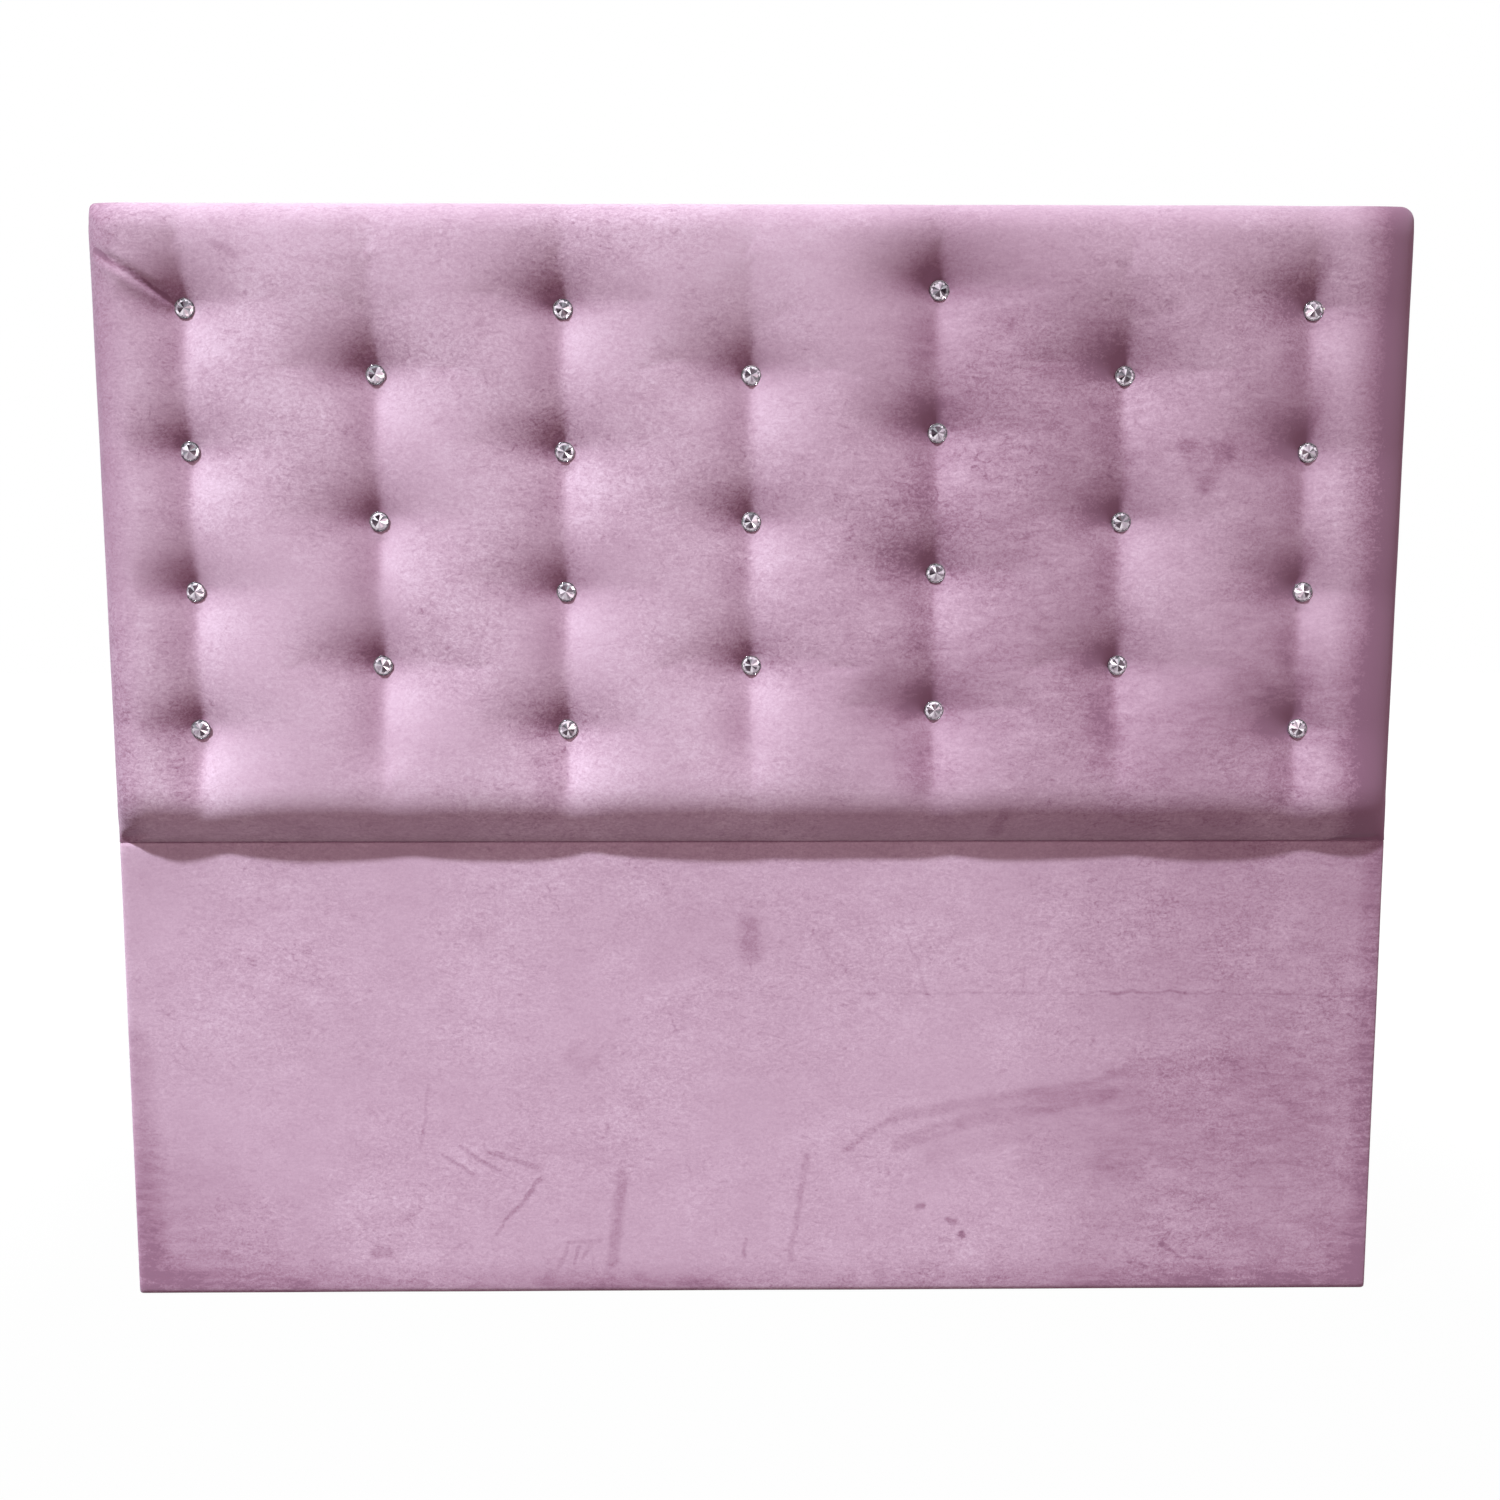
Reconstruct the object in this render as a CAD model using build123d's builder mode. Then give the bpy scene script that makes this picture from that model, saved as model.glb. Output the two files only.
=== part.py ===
"""A floor-standing upholstered headboard: a buttoned velvet cushion above a flat velvet panel.

X runs across the headboard, Y from front to back and Z up. The origin is on the floor, in the
middle of the width and of the depth. All sizes are in millimetres. In the comments, the depth of
a place is how far it stands in front of the face board.
"""

import os

from build123d import *

os.makedirs("parts", exist_ok=True)

# Overall size
headboard_width = 1400
headboard_height = 1200
seam_height = 520

# Velvet covers and the lining over the back
velvet_thickness = 1.5
flange_width = 45
lining_thickness = 1
lining_inset = 12

# Frame of pine battens, with a plywood board on its front
batten_width = 45
batten_depth = 70
stud_spacing = 600
board_thickness = 6

# Foam pads
cushion_crown = 40
flat_pad_thickness = 8
pad_edge_radius = 4
soft_clearance = 0.3

# Shape of the buttoned cushion
underside_height = 40
top_rounding_height = 34
cushion_edge_depth = 12
shoulder_inset = 46
shoulder_drop = 3
side_draw = 3
tuft_dip = 20

# Places of the buttons: the fifth column was set higher than the others
buttons_in_columns = (4, 3, 4, 3, 4, 3, 4)
column_pitch = 198.5
column_shift = -4
long_column_start = 126
long_column_pitch = 148
short_column_start = 195
short_column_pitch = 153.5
high_column = 4
high_column_lift = 20

# Crystal buttons
cup_radius = 11
cup_base_radius = 8
cup_depth = 4
cup_wall = 0.8
stone_radius = 9.8
stone_culet_radius = 4
stone_table_radius = 1.2
stone_girdle = 0.8
stone_crown_height = 3
stone_clearance = 0.1
stone_facets = 16
seat_drop = 2
pocket_clearance = 0.5

# Loops, twines and washers that pull the buttons in
loop_wire_radius = 0.6
loop_radius = 2.6
loop_leg = 2
loop_hole_radius = 4.5
twine_radius = 0.8
twine_play = 0.1
twine_hole_radius = 3
washer_radius = 9
washer_thickness = 2
knot_radius = 3.2
knot_length = 4

# Tack strip that gives the flat panel its straight top edge
tack_strip_width = 12
tack_strip_thickness = 1.5
hem_reach = 15

# Screws
frame_screw_radius = 2.5
frame_screw_head_radius = 4.8
frame_screw_length = 90
frame_screw_pitch = 30
lap_screw_length = 50
board_screw_radius = 1.75
board_screw_head_radius = 3.5
board_screw_length = 30
board_screw_spacing = 200
screw_clearance = 0.05
recess_depth = 1.2
recess_width = 0.9

# Staples
staple_crown = 9.5
staple_leg = 10
staple_wire = 0.8
cover_staple_inset = 27
cover_staple_spacing = 80
lining_staple_margin = 7
lining_staple_spacing = 110
strip_staple_spacing = 60

# Every cut runs this far past the face that it opens
overrun = 5

# Shape shares, chosen by hand
# Rounded underside and top: share of the rounding's height, share of the full depth
rounding_shares = ((0, 0.14), (0.05, 0.32), (0.16, 0.55), (0.35, 0.77), (0.62, 0.93), (1, 1))
# A column's valley: distance from the nearest button in pitches, share of the tuft's dip
valley_shares = ((0, 1), (0.25, 0.6), (0.5, 0.45), (0.75, 0.3), (1, 0.22), (9, 0.22))
# Share of the deeper dips beside a bay by which its crown is drawn down
bay_draw_share = 0.12
# Share of the outer columns' dips by which the shoulders are drawn down
shoulder_draw_share = 0.2
# Share of a screw head's width that its cross recess takes
recess_share = 0.55
# Length of a screw's tip, as a share of its shank's radius
tip_share = 2.5

# Depth stack, from the back to the front
cover_growth = soft_clearance + velvet_thickness
back_depth = lining_thickness + velvet_thickness + batten_depth
lining_back = (back_depth + board_thickness + cushion_crown + cover_growth) / 2
flange_back = lining_back - lining_thickness
frame_back = flange_back - velvet_thickness
frame_front = frame_back - batten_depth
frame_middle = (frame_back + frame_front) / 2
board_front = frame_front - board_thickness
flat_pad_front = board_front - flat_pad_thickness
flat_panel_front = flat_pad_front - velvet_thickness

# Outline of the frame and board inside the velvet
outer_side = headboard_width / 2
frame_side = outer_side - velvet_thickness
frame_bottom = velvet_thickness
frame_top = headboard_height - velvet_thickness
rail_end = frame_side - batten_width

# Battens' middle lines
stile_line = frame_side - batten_width / 2
stud_lines = (-stud_spacing / 2, stud_spacing / 2)
upright_lines = (-stile_line, *stud_lines, stile_line)
rail_lines = (frame_bottom + batten_width / 2, seam_height, frame_top - batten_width / 2)

# Seat of the buttons, as a depth and as a place
seat_depth = cushion_crown + cover_growth - tuft_dip - seat_drop
seat_front = board_front - seat_depth


def column_heights(index, count):
    """Heights of one column's buttons above the floor."""
    start, pitch = short_column_start, short_column_pitch
    if count == max(buttons_in_columns):
        start, pitch = long_column_start, long_column_pitch
    if index == high_column:
        start += high_column_lift
    return [seam_height + start + row * pitch for row in range(count)]


columns = []
for index, count in enumerate(buttons_in_columns):
    steps_from_middle = index - (len(buttons_in_columns) - 1) / 2
    columns.append((column_shift + steps_from_middle * column_pitch, column_heights(index, count)))

button_spots = [(x, z) for x, heights in columns for z in heights]
button_seats = [Location((x, seat_front, z), (90, 0, 0)) for x, z in button_spots]


def block(low, high, mode=Mode.ADD):
    """Add or cut a straight block between two opposite corners."""
    middle = (Vector(*low) + Vector(*high)) / 2
    with Locations(middle):
        Box(*[b - a for a, b in zip(low, high)], mode=mode)


def spread(start, end, spacing):
    """Evenly spaced places from start to end, about one spacing apart."""
    gaps = max(1, round(abs(end - start) / spacing))
    return [start + (end - start) * step / gaps for step in range(gaps + 1)]


def bay_places(start, end, spacing):
    """Evenly spaced places inside a bay, half a space from its ends."""
    ends = spread(start, end, spacing)
    return [(a + b) / 2 for a, b in zip(ends, ends[1:])]


def save(part, name):
    """Label a finished piece and write it."""
    part.label = name
    export_step(part, f"parts/{name}.step")


def save_group(small_piece, places, name):
    """Write one small piece at all its places, as one group of separate solids."""
    with BuildPart() as group:
        with Locations(places):
            add(small_piece)
    save(group.part, name)


# Frame screws: two through each stile into each rail's end, two through the top and bottom
# rails into each stud's end, and one from behind through each halving joint
butt_screw_places = []
for y in (frame_middle - frame_screw_pitch / 2, frame_middle + frame_screw_pitch / 2):
    for z in rail_lines:
        butt_screw_places.append(Location((-frame_side, y, z), (0, -90, 0)))
        butt_screw_places.append(Location((frame_side, y, z), (0, 90, 0)))
    for x in stud_lines:
        butt_screw_places.append(Location((x, y, frame_bottom), (180, 0, 0)))
        butt_screw_places.append(Location((x, y, frame_top), (0, 0, 0)))

lap_screw_places = [Location((x, frame_back, seam_height), (-90, 0, 0)) for x in stud_lines]

# Board screws: along the middle line of each batten, clear of the frame's own screws
board_screw_spots = []
for z in rail_lines:
    for start, end in zip(upright_lines, upright_lines[1:]):
        board_screw_spots += [(x, z) for x in bay_places(start, end, board_screw_spacing)]
for x in upright_lines:
    for start, end in zip(rail_lines, rail_lines[1:]):
        board_screw_spots += [(x, z) for z in bay_places(start, end, board_screw_spacing)]

board_screw_places = [Location((x, board_front, z), (90, 0, 0)) for x, z in board_screw_spots]


def screw(shank_radius, head_radius, length):
    """A countersunk wood screw along -Z, with its flat head at the origin."""
    with BuildPart() as made:
        with BuildSketch(Plane.XZ):
            with BuildLine():
                Polyline(
                    (0, 0),
                    (head_radius, 0),
                    (shank_radius, shank_radius - head_radius),
                    (shank_radius, shank_radius * tip_share - length),
                    (0, -length),
                    close=True,
                )
            make_face()
        revolve(axis=Axis.Z)
        with BuildSketch():
            Rectangle(2 * head_radius * recess_share, recess_width)
            Rectangle(recess_width, 2 * head_radius * recess_share)
        extrude(amount=-recess_depth, mode=Mode.SUBTRACT)
    return made.part


def screw_hole(shank_radius, head_radius, length):
    """The hole for such a screw: its own shape with a small clearance, open past its head."""
    shank = shank_radius + screw_clearance
    head = head_radius + screw_clearance
    with BuildPart() as made:
        with BuildSketch(Plane.XZ):
            with BuildLine():
                Polyline(
                    (0, overrun),
                    (head, overrun),
                    (head, 0),
                    (shank, shank - head),
                    (shank, -length - screw_clearance),
                    (0, -length - screw_clearance),
                    close=True,
                )
            make_face()
        revolve(axis=Axis.Z)
    return made.part


butt_screw_size = (frame_screw_radius, frame_screw_head_radius, frame_screw_length)
lap_screw_size = (frame_screw_radius, frame_screw_head_radius, lap_screw_length)
board_screw_size = (board_screw_radius, board_screw_head_radius, board_screw_length)

screw_holes = [screw_hole(*butt_screw_size).located(place) for place in butt_screw_places]
screw_holes += [screw_hole(*lap_screw_size).located(place) for place in lap_screw_places]
screw_holes += [screw_hole(*board_screw_size).located(place) for place in board_screw_places]


def drill(low, high):
    """Cut the screw holes that reach into the block between two opposite corners."""
    for hole in screw_holes:
        reach = hole.bounding_box()
        if all(a < b and c > d for a, b, c, d in zip(reach.min, high, reach.max, low)):
            add(hole, mode=Mode.SUBTRACT)


# Stiles: full-height battens at both sides
for side_name, side in (("left", -1), ("right", 1)):
    across = sorted((side * frame_side, side * rail_end))
    low = (across[0], frame_front, frame_bottom)
    high = (across[1], frame_back, frame_top)
    with BuildPart() as frame_stile:
        block(low, high)
        drill(low, high)
    save(frame_stile.part, f"frame_{side_name}_stile")

# Bottom and top rails, between the stiles
for rail_name, line in (("bottom", rail_lines[0]), ("top", rail_lines[-1])):
    low = (-rail_end, frame_front, line - batten_width / 2)
    high = (rail_end, frame_back, line + batten_width / 2)
    with BuildPart() as frame_rail:
        block(low, high)
        drill(low, high)
    save(frame_rail.part, f"frame_{rail_name}_rail")

# Middle rail behind the seam, halved on its front where the studs cross it
rail_bottom = seam_height - batten_width / 2
rail_top = seam_height + batten_width / 2
low = (-rail_end, frame_front, rail_bottom)
high = (rail_end, frame_back, rail_top)
with BuildPart() as frame_middle_rail:
    block(low, high)
    for x in stud_lines:
        block(
            (x - batten_width / 2, frame_front - overrun, rail_bottom - overrun),
            (x + batten_width / 2, frame_middle, rail_top + overrun),
            mode=Mode.SUBTRACT,
        )
    drill(low, high)
save(frame_middle_rail.part, "frame_middle_rail")

# Studs: uprights between the bottom and top rails, halved on their back over the middle rail
for side_name, x in zip(("left", "right"), stud_lines):
    low = (x - batten_width / 2, frame_front, frame_bottom + batten_width)
    high = (x + batten_width / 2, frame_back, frame_top - batten_width)
    with BuildPart() as frame_stud:
        block(low, high)
        block(
            (low[0] - overrun, frame_middle, rail_bottom),
            (high[0] + overrun, frame_back + overrun, rail_top),
            mode=Mode.SUBTRACT,
        )
        drill(low, high)
    save(frame_stud.part, f"frame_{side_name}_stud")

# Face board: one sheet, drilled behind each button
low = (-frame_side, board_front, frame_bottom)
high = (frame_side, frame_front, frame_top)
with BuildPart() as face_board:
    block(low, high)
    with Locations([Location((x, board_front, z), (90, 0, 0)) for x, z in button_spots]):
        Cylinder(twine_hole_radius, 2 * (board_thickness + overrun), mode=Mode.SUBTRACT)
    drill(low, high)
save(face_board.part, "face_board")

# Screws of the frame and of the board
with BuildPart() as frame_screws:
    with Locations(butt_screw_places):
        add(screw(*butt_screw_size))
    with Locations(lap_screw_places):
        add(screw(*lap_screw_size))
save(frame_screws.part, "frame_screws")
save_group(screw(*board_screw_size), board_screw_places, "face_board_screws")


def valley_dip(heights, height):
    """How far a column's valley lies under the crown at one height."""
    distance = min(abs(height - button) for button in heights) / long_column_pitch
    for (near, near_share), (far, far_share) in zip(valley_shares, valley_shares[1:]):
        if distance <= far:
            along = (distance - near) / (far - near)
            return tuft_dip * (near_share + (far_share - near_share) * along)
    return 0


def draw_cushion_outline(height, fullness, growth, edge_depth, side_pull):
    """Draw the cushion's horizontal section: arcs from valley to valley and over the shoulders."""

    def place(x, full_depth):
        depth_there = edge_depth + (full_depth - edge_depth) * fullness
        return (x, board_front - depth_there - growth)

    side = frame_side - soft_clearance + growth
    dips = [valley_dip(heights, height) for _, heights in columns]
    least_dip = tuft_dip * valley_shares[-1][1]
    valleys = [place(x, cushion_crown - dip) for (x, _), dip in zip(columns, dips)]
    bay_crowns = []
    for (x, _), (next_x, _), dip, next_dip in zip(columns, columns[1:], dips, dips[1:]):
        draw = bay_draw_share * ((dip + next_dip) / 2 - least_dip)
        bay_crowns.append(place((x + next_x) / 2, cushion_crown - draw))
    shoulders = []
    for sign, dip in ((-1, dips[0]), (1, dips[-1])):
        shoulder_depth = cushion_crown - shoulder_drop - shoulder_draw_share * dip
        shoulders.append(place(sign * (side - shoulder_inset), shoulder_depth))
    left_edge = place(side_pull - side, cushion_edge_depth)
    right_edge = place(side - side_pull, cushion_edge_depth)

    starts = [left_edge, *valleys]
    middles = [shoulders[0], *bay_crowns, shoulders[1]]
    ends = [*valleys, right_edge]
    Line((-side, board_front), left_edge)
    for start, middle, end in zip(starts, middles, ends):
        ThreePointArc(start, middle, end)
    Polyline(right_edge, (side, board_front), (-side, board_front))


def cushion_sections(growth):
    """Height, fullness and edge depth of the cushion's sections, from the seam to the top."""
    bottom = seam_height + cover_growth - growth
    top = headboard_height - cover_growth + growth
    seam_depth = flat_pad_thickness + velvet_thickness - cover_growth

    sections = []
    for height_share, fullness in rounding_shares:
        height = bottom + height_share * (underside_height + growth)
        sections.append((height, fullness, seam_depth))
    rows = [z for number, (_, heights) in enumerate(columns) if number != high_column for z in heights]
    rows = sorted(set(rows))
    rows += [(a + b) / 2 for a, b in zip(rows, rows[1:])]
    for height in sorted(rows):
        sections.append((height, 1, cushion_edge_depth))
    for height_share, fullness in reversed(rounding_shares):
        height = top - height_share * (top_rounding_height + growth)
        sections.append((height, fullness, cushion_edge_depth))
    return sections


def cushion_form(growth):
    """The buttoned cushion grown by a little all round, with a pocket and a hole at each button.

    Without growth it is the foam. Grown, it is the inside or the outside of the velvet.
    """
    sections = cushion_sections(growth)
    bottom, top = sections[0][0], sections[-1][0]
    pocket_growth = cover_growth - growth
    pocket_floor = seat_front + pocket_growth
    with BuildPart() as made:
        for height, fullness, edge_depth in sections:
            along = (height - bottom) / (top - bottom)
            side_pull = side_draw * 4 * along * (1 - along)
            with BuildSketch(Plane.XY.offset(height)):
                with BuildLine():
                    draw_cushion_outline(height, fullness, growth, edge_depth, side_pull)
                make_face()
        loft(ruled=True)
        with Locations([Location((x, pocket_floor, z), (90, 0, 0)) for x, z in button_spots]):
            Cylinder(
                cup_radius + pocket_clearance + pocket_growth,
                cushion_crown,
                align=(Align.CENTER, Align.CENTER, Align.MIN),
                mode=Mode.SUBTRACT,
            )
        with Locations(button_seats):
            Cylinder(loop_hole_radius, 2 * (seat_depth + overrun), mode=Mode.SUBTRACT)
    return made.part


# Foam pad of the cushion, glued to the board
save(cushion_form(growth=0), "upper_foam")

# Foam pad of the flat panel, with a rebate behind its top edge for the hems and the tack strip
hem_bottom = seam_height - hem_reach
upper_hem_front = board_front - velvet_thickness
lower_hem_front = upper_hem_front - velvet_thickness
strip_front = lower_hem_front - tack_strip_thickness
strip_top = seam_height - velvet_thickness
with BuildPart() as lower_foam:
    block(
        (soft_clearance - frame_side, flat_pad_front + soft_clearance, frame_bottom + soft_clearance),
        (frame_side - soft_clearance, board_front, strip_top - soft_clearance),
    )
    fillet(lower_foam.edges().group_by(Axis.Y)[0].sort_by(Axis.Z)[:-1], radius=pad_edge_radius)
    block(
        (-outer_side, strip_front, hem_bottom - soft_clearance),
        (outer_side, board_front + overrun, seam_height),
        mode=Mode.SUBTRACT,
    )
save(lower_foam.part, "lower_foam")

# Velvet over the cushion: over the foam, round the frame's sides and top to a flange behind,
# and down past the seam as a flat hem on the board
with BuildPart() as upper_velvet_cover:
    add(cushion_form(growth=cover_growth))
    block((-outer_side, board_front, seam_height), (outer_side, flange_back, headboard_height))
    add(cushion_form(growth=soft_clearance), mode=Mode.SUBTRACT)
    block(
        (-frame_side, board_front, seam_height - overrun),
        (frame_side, frame_back, frame_top),
        mode=Mode.SUBTRACT,
    )
    block(
        (flange_width - outer_side, frame_back - overrun, seam_height - overrun),
        (outer_side - flange_width, flange_back + overrun, headboard_height - flange_width),
        mode=Mode.SUBTRACT,
    )
    block(
        (-frame_side, upper_hem_front, hem_bottom),
        (frame_side, board_front, seam_height + velvet_thickness),
    )
save(upper_velvet_cover.part, "upper_velvet_cover")

# Space inside the flat panel's velvet, for its foam, the board and the frame
with BuildPart() as flat_panel_space:
    block((-frame_side, flat_pad_front, frame_bottom), (frame_side, frame_back, strip_top))
    fillet(flat_panel_space.edges().group_by(Axis.Y)[0].sort_by(Axis.Z)[:-1], radius=pad_edge_radius)

# Velvet over the flat panel: round the sides and the bottom to a flange behind, its top edge
# turned in over the tack strip and down behind it as a hem
with BuildPart() as lower_velvet_cover:
    block((-outer_side, flat_panel_front, 0), (outer_side, flange_back, seam_height))
    fillet(
        lower_velvet_cover.edges().group_by(Axis.Y)[0].sort_by(Axis.Z)[:-1],
        radius=pad_edge_radius + velvet_thickness,
    )
    add(flat_panel_space.part, mode=Mode.SUBTRACT)
    block(
        (-frame_side, upper_hem_front, strip_top - overrun),
        (frame_side, frame_back, seam_height + overrun),
        mode=Mode.SUBTRACT,
    )
    block(
        (flange_width - outer_side, frame_back - overrun, flange_width),
        (outer_side - flange_width, flange_back + overrun, seam_height + overrun),
        mode=Mode.SUBTRACT,
    )
    block((-frame_side, lower_hem_front, hem_bottom), (frame_side, upper_hem_front, seam_height))
save(lower_velvet_cover.part, "lower_velvet_cover")

# Cardboard tack strip over both hems, its ends clear of the cover's rounded corners
strip_end = frame_side - pad_edge_radius
with BuildPart() as tack_strip:
    block(
        (-strip_end, strip_front, strip_top - tack_strip_width),
        (strip_end, lower_hem_front, strip_top),
    )
save(tack_strip.part, "tack_strip")

# Lining over the back
with BuildPart() as back_lining:
    block(
        (lining_inset - outer_side, flange_back, lining_inset),
        (outer_side - lining_inset, lining_back, headboard_height - lining_inset),
    )
save(back_lining.part, "back_lining")

# A staple with its crown along X and its legs along -Z, its crown's outer face at the origin
with BuildPart() as staple:
    with BuildSketch():
        Rectangle(staple_crown, staple_wire)
    extrude(amount=-staple_wire)
    with BuildSketch():
        with GridLocations(staple_crown - staple_wire, 0, 2, 1):
            Rectangle(staple_wire, staple_wire)
    extrude(amount=-staple_leg)


def edge_staples(face, inset, spacing):
    """Staple places round the back, this far inside the outline, crowns along the edges."""
    side_line = outer_side - inset
    top_line = headboard_height - inset
    places = []
    for z in (inset, top_line):
        for x in spread(-side_line, side_line, spacing):
            places.append(Location((x, face, z), (-90, 0, 0)))
    for x in (-side_line, side_line):
        for z in spread(inset, top_line, spacing)[1:-1]:
            places.append(Location((x, face, z), (-90, 0, 90)))
    return places


# Staples of the covers and of the lining, their crowns pressed flush into the cloth
cover_staple_places = edge_staples(flange_back, cover_staple_inset, cover_staple_spacing)
save_group(staple.part, cover_staple_places, "cover_staples")
lining_staple_inset = lining_inset + lining_staple_margin
lining_staple_places = edge_staples(lining_back, lining_staple_inset, lining_staple_spacing)
save_group(staple.part, lining_staple_places, "lining_staples")

# Staples of the tack strip, through both hems into the board
strip_line = strip_top - tack_strip_width / 2
strip_staple_end = strip_end - staple_crown
strip_staple_places = [
    Location((x, strip_front, strip_line), (90, 0, 0))
    for x in spread(-strip_staple_end, strip_staple_end, strip_staple_spacing)
]
save_group(staple.part, strip_staple_places, "tack_strip_staples")

# Metal cup of a button: its back on the velvet at the origin, its mouth towards +Z
mouth_radius = stone_radius + stone_clearance
with BuildPart() as crystal_cup:
    with BuildSketch(Plane.XZ):
        with BuildLine():
            Polyline(
                (0, 0),
                (cup_base_radius, 0),
                (cup_radius, cup_depth),
                (mouth_radius, cup_depth),
                (mouth_radius, cup_depth - stone_girdle),
                (stone_culet_radius + stone_clearance, cup_wall),
                (0, cup_wall),
                close=True,
            )
        make_face()
    revolve(axis=Axis.Z)
save_group(crystal_cup.part, button_seats, "crystal_cups")

# Faceted glass stone in the cup
stone_sections = (
    (cup_wall, stone_culet_radius),
    (cup_depth - stone_girdle, stone_radius),
    (cup_depth, stone_radius),
    (cup_depth + stone_crown_height, stone_table_radius),
)
with BuildPart() as crystal_stone:
    for height, radius in stone_sections:
        with BuildSketch(Plane.XY.offset(height)):
            RegularPolygon(radius, stone_facets)
    loft(ruled=True)
save_group(crystal_stone.part, button_seats, "crystal_stones")

# Wire loop on the back of the cup
loop_bottom = -loop_leg - loop_radius
with BuildPart() as cup_loop:
    with BuildLine():
        Line((-loop_radius, 0, 0), (-loop_radius, 0, -loop_leg))
        ThreePointArc((-loop_radius, 0, -loop_leg), (0, 0, loop_bottom), (loop_radius, 0, -loop_leg))
        Line((loop_radius, 0, -loop_leg), (loop_radius, 0, 0))
    with BuildSketch(Plane(origin=(-loop_radius, 0, 0), z_dir=(0, 0, -1))):
        Circle(loop_wire_radius)
    sweep()
save_group(cup_loop.part, button_seats, "cup_loops")

# Twine doubled round the loop, through foam, board and washer, with a knot behind
bight_radius = loop_wire_radius + twine_radius + twine_play
board_back_below = -seat_depth - board_thickness
washer_back_below = board_back_below - washer_thickness
with BuildPart() as tuft_twine:
    with BuildLine():
        Line((0, -bight_radius, washer_back_below), (0, -bight_radius, loop_bottom))
        ThreePointArc(
            (0, -bight_radius, loop_bottom),
            (0, 0, loop_bottom + bight_radius),
            (0, bight_radius, loop_bottom),
        )
        Line((0, bight_radius, loop_bottom), (0, bight_radius, washer_back_below))
    with BuildSketch(Plane(origin=(0, -bight_radius, washer_back_below), z_dir=(0, 0, 1))):
        Circle(twine_radius)
    sweep()
    with BuildSketch(Plane.XY.offset(washer_back_below)):
        Circle(knot_radius)
    extrude(amount=-knot_length)
save_group(tuft_twine.part, button_seats, "tuft_twines")

# Washer that the knot pulls against, on the back of the board
washer_hole_radius = bight_radius + twine_radius + twine_play
with BuildPart() as twine_washer:
    with BuildSketch(Plane.XY.offset(board_back_below)):
        Circle(washer_radius)
        Circle(washer_hole_radius, mode=Mode.SUBTRACT)
    extrude(amount=-washer_thickness)
save_group(twine_washer.part, button_seats, "twine_washers")
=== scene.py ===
"""The looks of a floor-standing velvet headboard with a buttoned cushion above a flat panel.

X runs across the headboard, Y from front to back and Z up, in metres. In the comments, the depth
of a place is how far it stands in front of the face board, and its rise how far above the seam.
"""

import math

import bpy
import numpy as np
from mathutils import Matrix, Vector


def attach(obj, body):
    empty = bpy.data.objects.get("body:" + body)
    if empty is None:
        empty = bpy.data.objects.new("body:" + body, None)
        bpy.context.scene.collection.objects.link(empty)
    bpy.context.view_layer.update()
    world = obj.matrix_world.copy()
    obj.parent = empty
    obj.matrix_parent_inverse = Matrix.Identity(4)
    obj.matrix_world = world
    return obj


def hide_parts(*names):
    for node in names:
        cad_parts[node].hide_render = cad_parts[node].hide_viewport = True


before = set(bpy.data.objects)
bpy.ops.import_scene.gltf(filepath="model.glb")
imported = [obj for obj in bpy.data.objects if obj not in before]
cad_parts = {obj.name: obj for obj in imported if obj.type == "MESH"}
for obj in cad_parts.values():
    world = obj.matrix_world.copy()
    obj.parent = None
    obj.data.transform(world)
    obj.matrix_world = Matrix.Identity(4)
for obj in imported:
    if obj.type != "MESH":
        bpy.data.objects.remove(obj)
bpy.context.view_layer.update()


# The camera stands in front of the headboard, a little left of its middle and above the seam,
# and looks slightly down.
def new_object(name, data, place=(0, 0, 0)):
    """A new object in the scene."""
    made_object = bpy.data.objects.new(name, data)
    made_object.location = place
    bpy.context.scene.collection.objects.link(made_object)
    return made_object


def look_along(holder, heading):
    """Turn a camera or a lamp to look along a heading."""
    holder.rotation_euler = Vector(heading).to_track_quat("-Z", "Y").to_euler()


camera_lens = bpy.data.cameras.new("front_view")
camera_lens.sensor_width = 36
camera_lens.lens = 34.66
camera = new_object("front_view", camera_lens, (-0.021, -1.604, 0.784))
look_along(camera, (0.010, 0.995, -0.1025))
bpy.context.scene.camera = camera


# Frame: planed pine battens, butted and screwed, with the studs halved over the middle rail.
# The velvet and the lining hide it, but its wood is finished on every face.
def set_all(thing, **settings):
    """Set several settings of one thing."""
    for name, value in settings.items():
        setattr(thing, name, value)


def set_sockets(tree, node, sockets):
    """Give a node's sockets their values and links."""
    for name, value in sockets.items():
        if isinstance(value, bpy.types.NodeSocket):
            tree.links.new(value, node.inputs[name])
        else:
            node.inputs[name].default_value = value


def new_finish(name, roughness, sockets=None):
    """A new material, its node tree and its shader."""
    finish = bpy.data.materials.new(name)
    finish.use_nodes = True
    tree = finish.node_tree
    shader = tree.nodes["Principled BSDF"]
    set_sockets(tree, shader, {"Roughness": roughness} | (sockets or {}))
    return finish, tree, shader


def new_node(tree, kind, sockets=None, **settings):
    """A new node with its settings, values and links."""
    node = tree.nodes.new(kind)
    set_all(node, **settings)
    set_sockets(tree, node, sockets or {})
    return node


def add_node(tree, kind, sockets=None, output=None, **settings):
    """Add a node and return its output of this name, or else the first one in use."""
    outputs = new_node(tree, kind, sockets, **settings).outputs
    return outputs[output] if output else next(socket for socket in outputs if socket.enabled)


def surface_place(tree, stretch=(1, 1, 1)):
    """Places on the piece, stretched along its axes."""
    place = add_node(tree, "ShaderNodeTexCoord", output="Object")
    return add_node(tree, "ShaderNodeMapping", {"Vector": place, "Scale": stretch})


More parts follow.
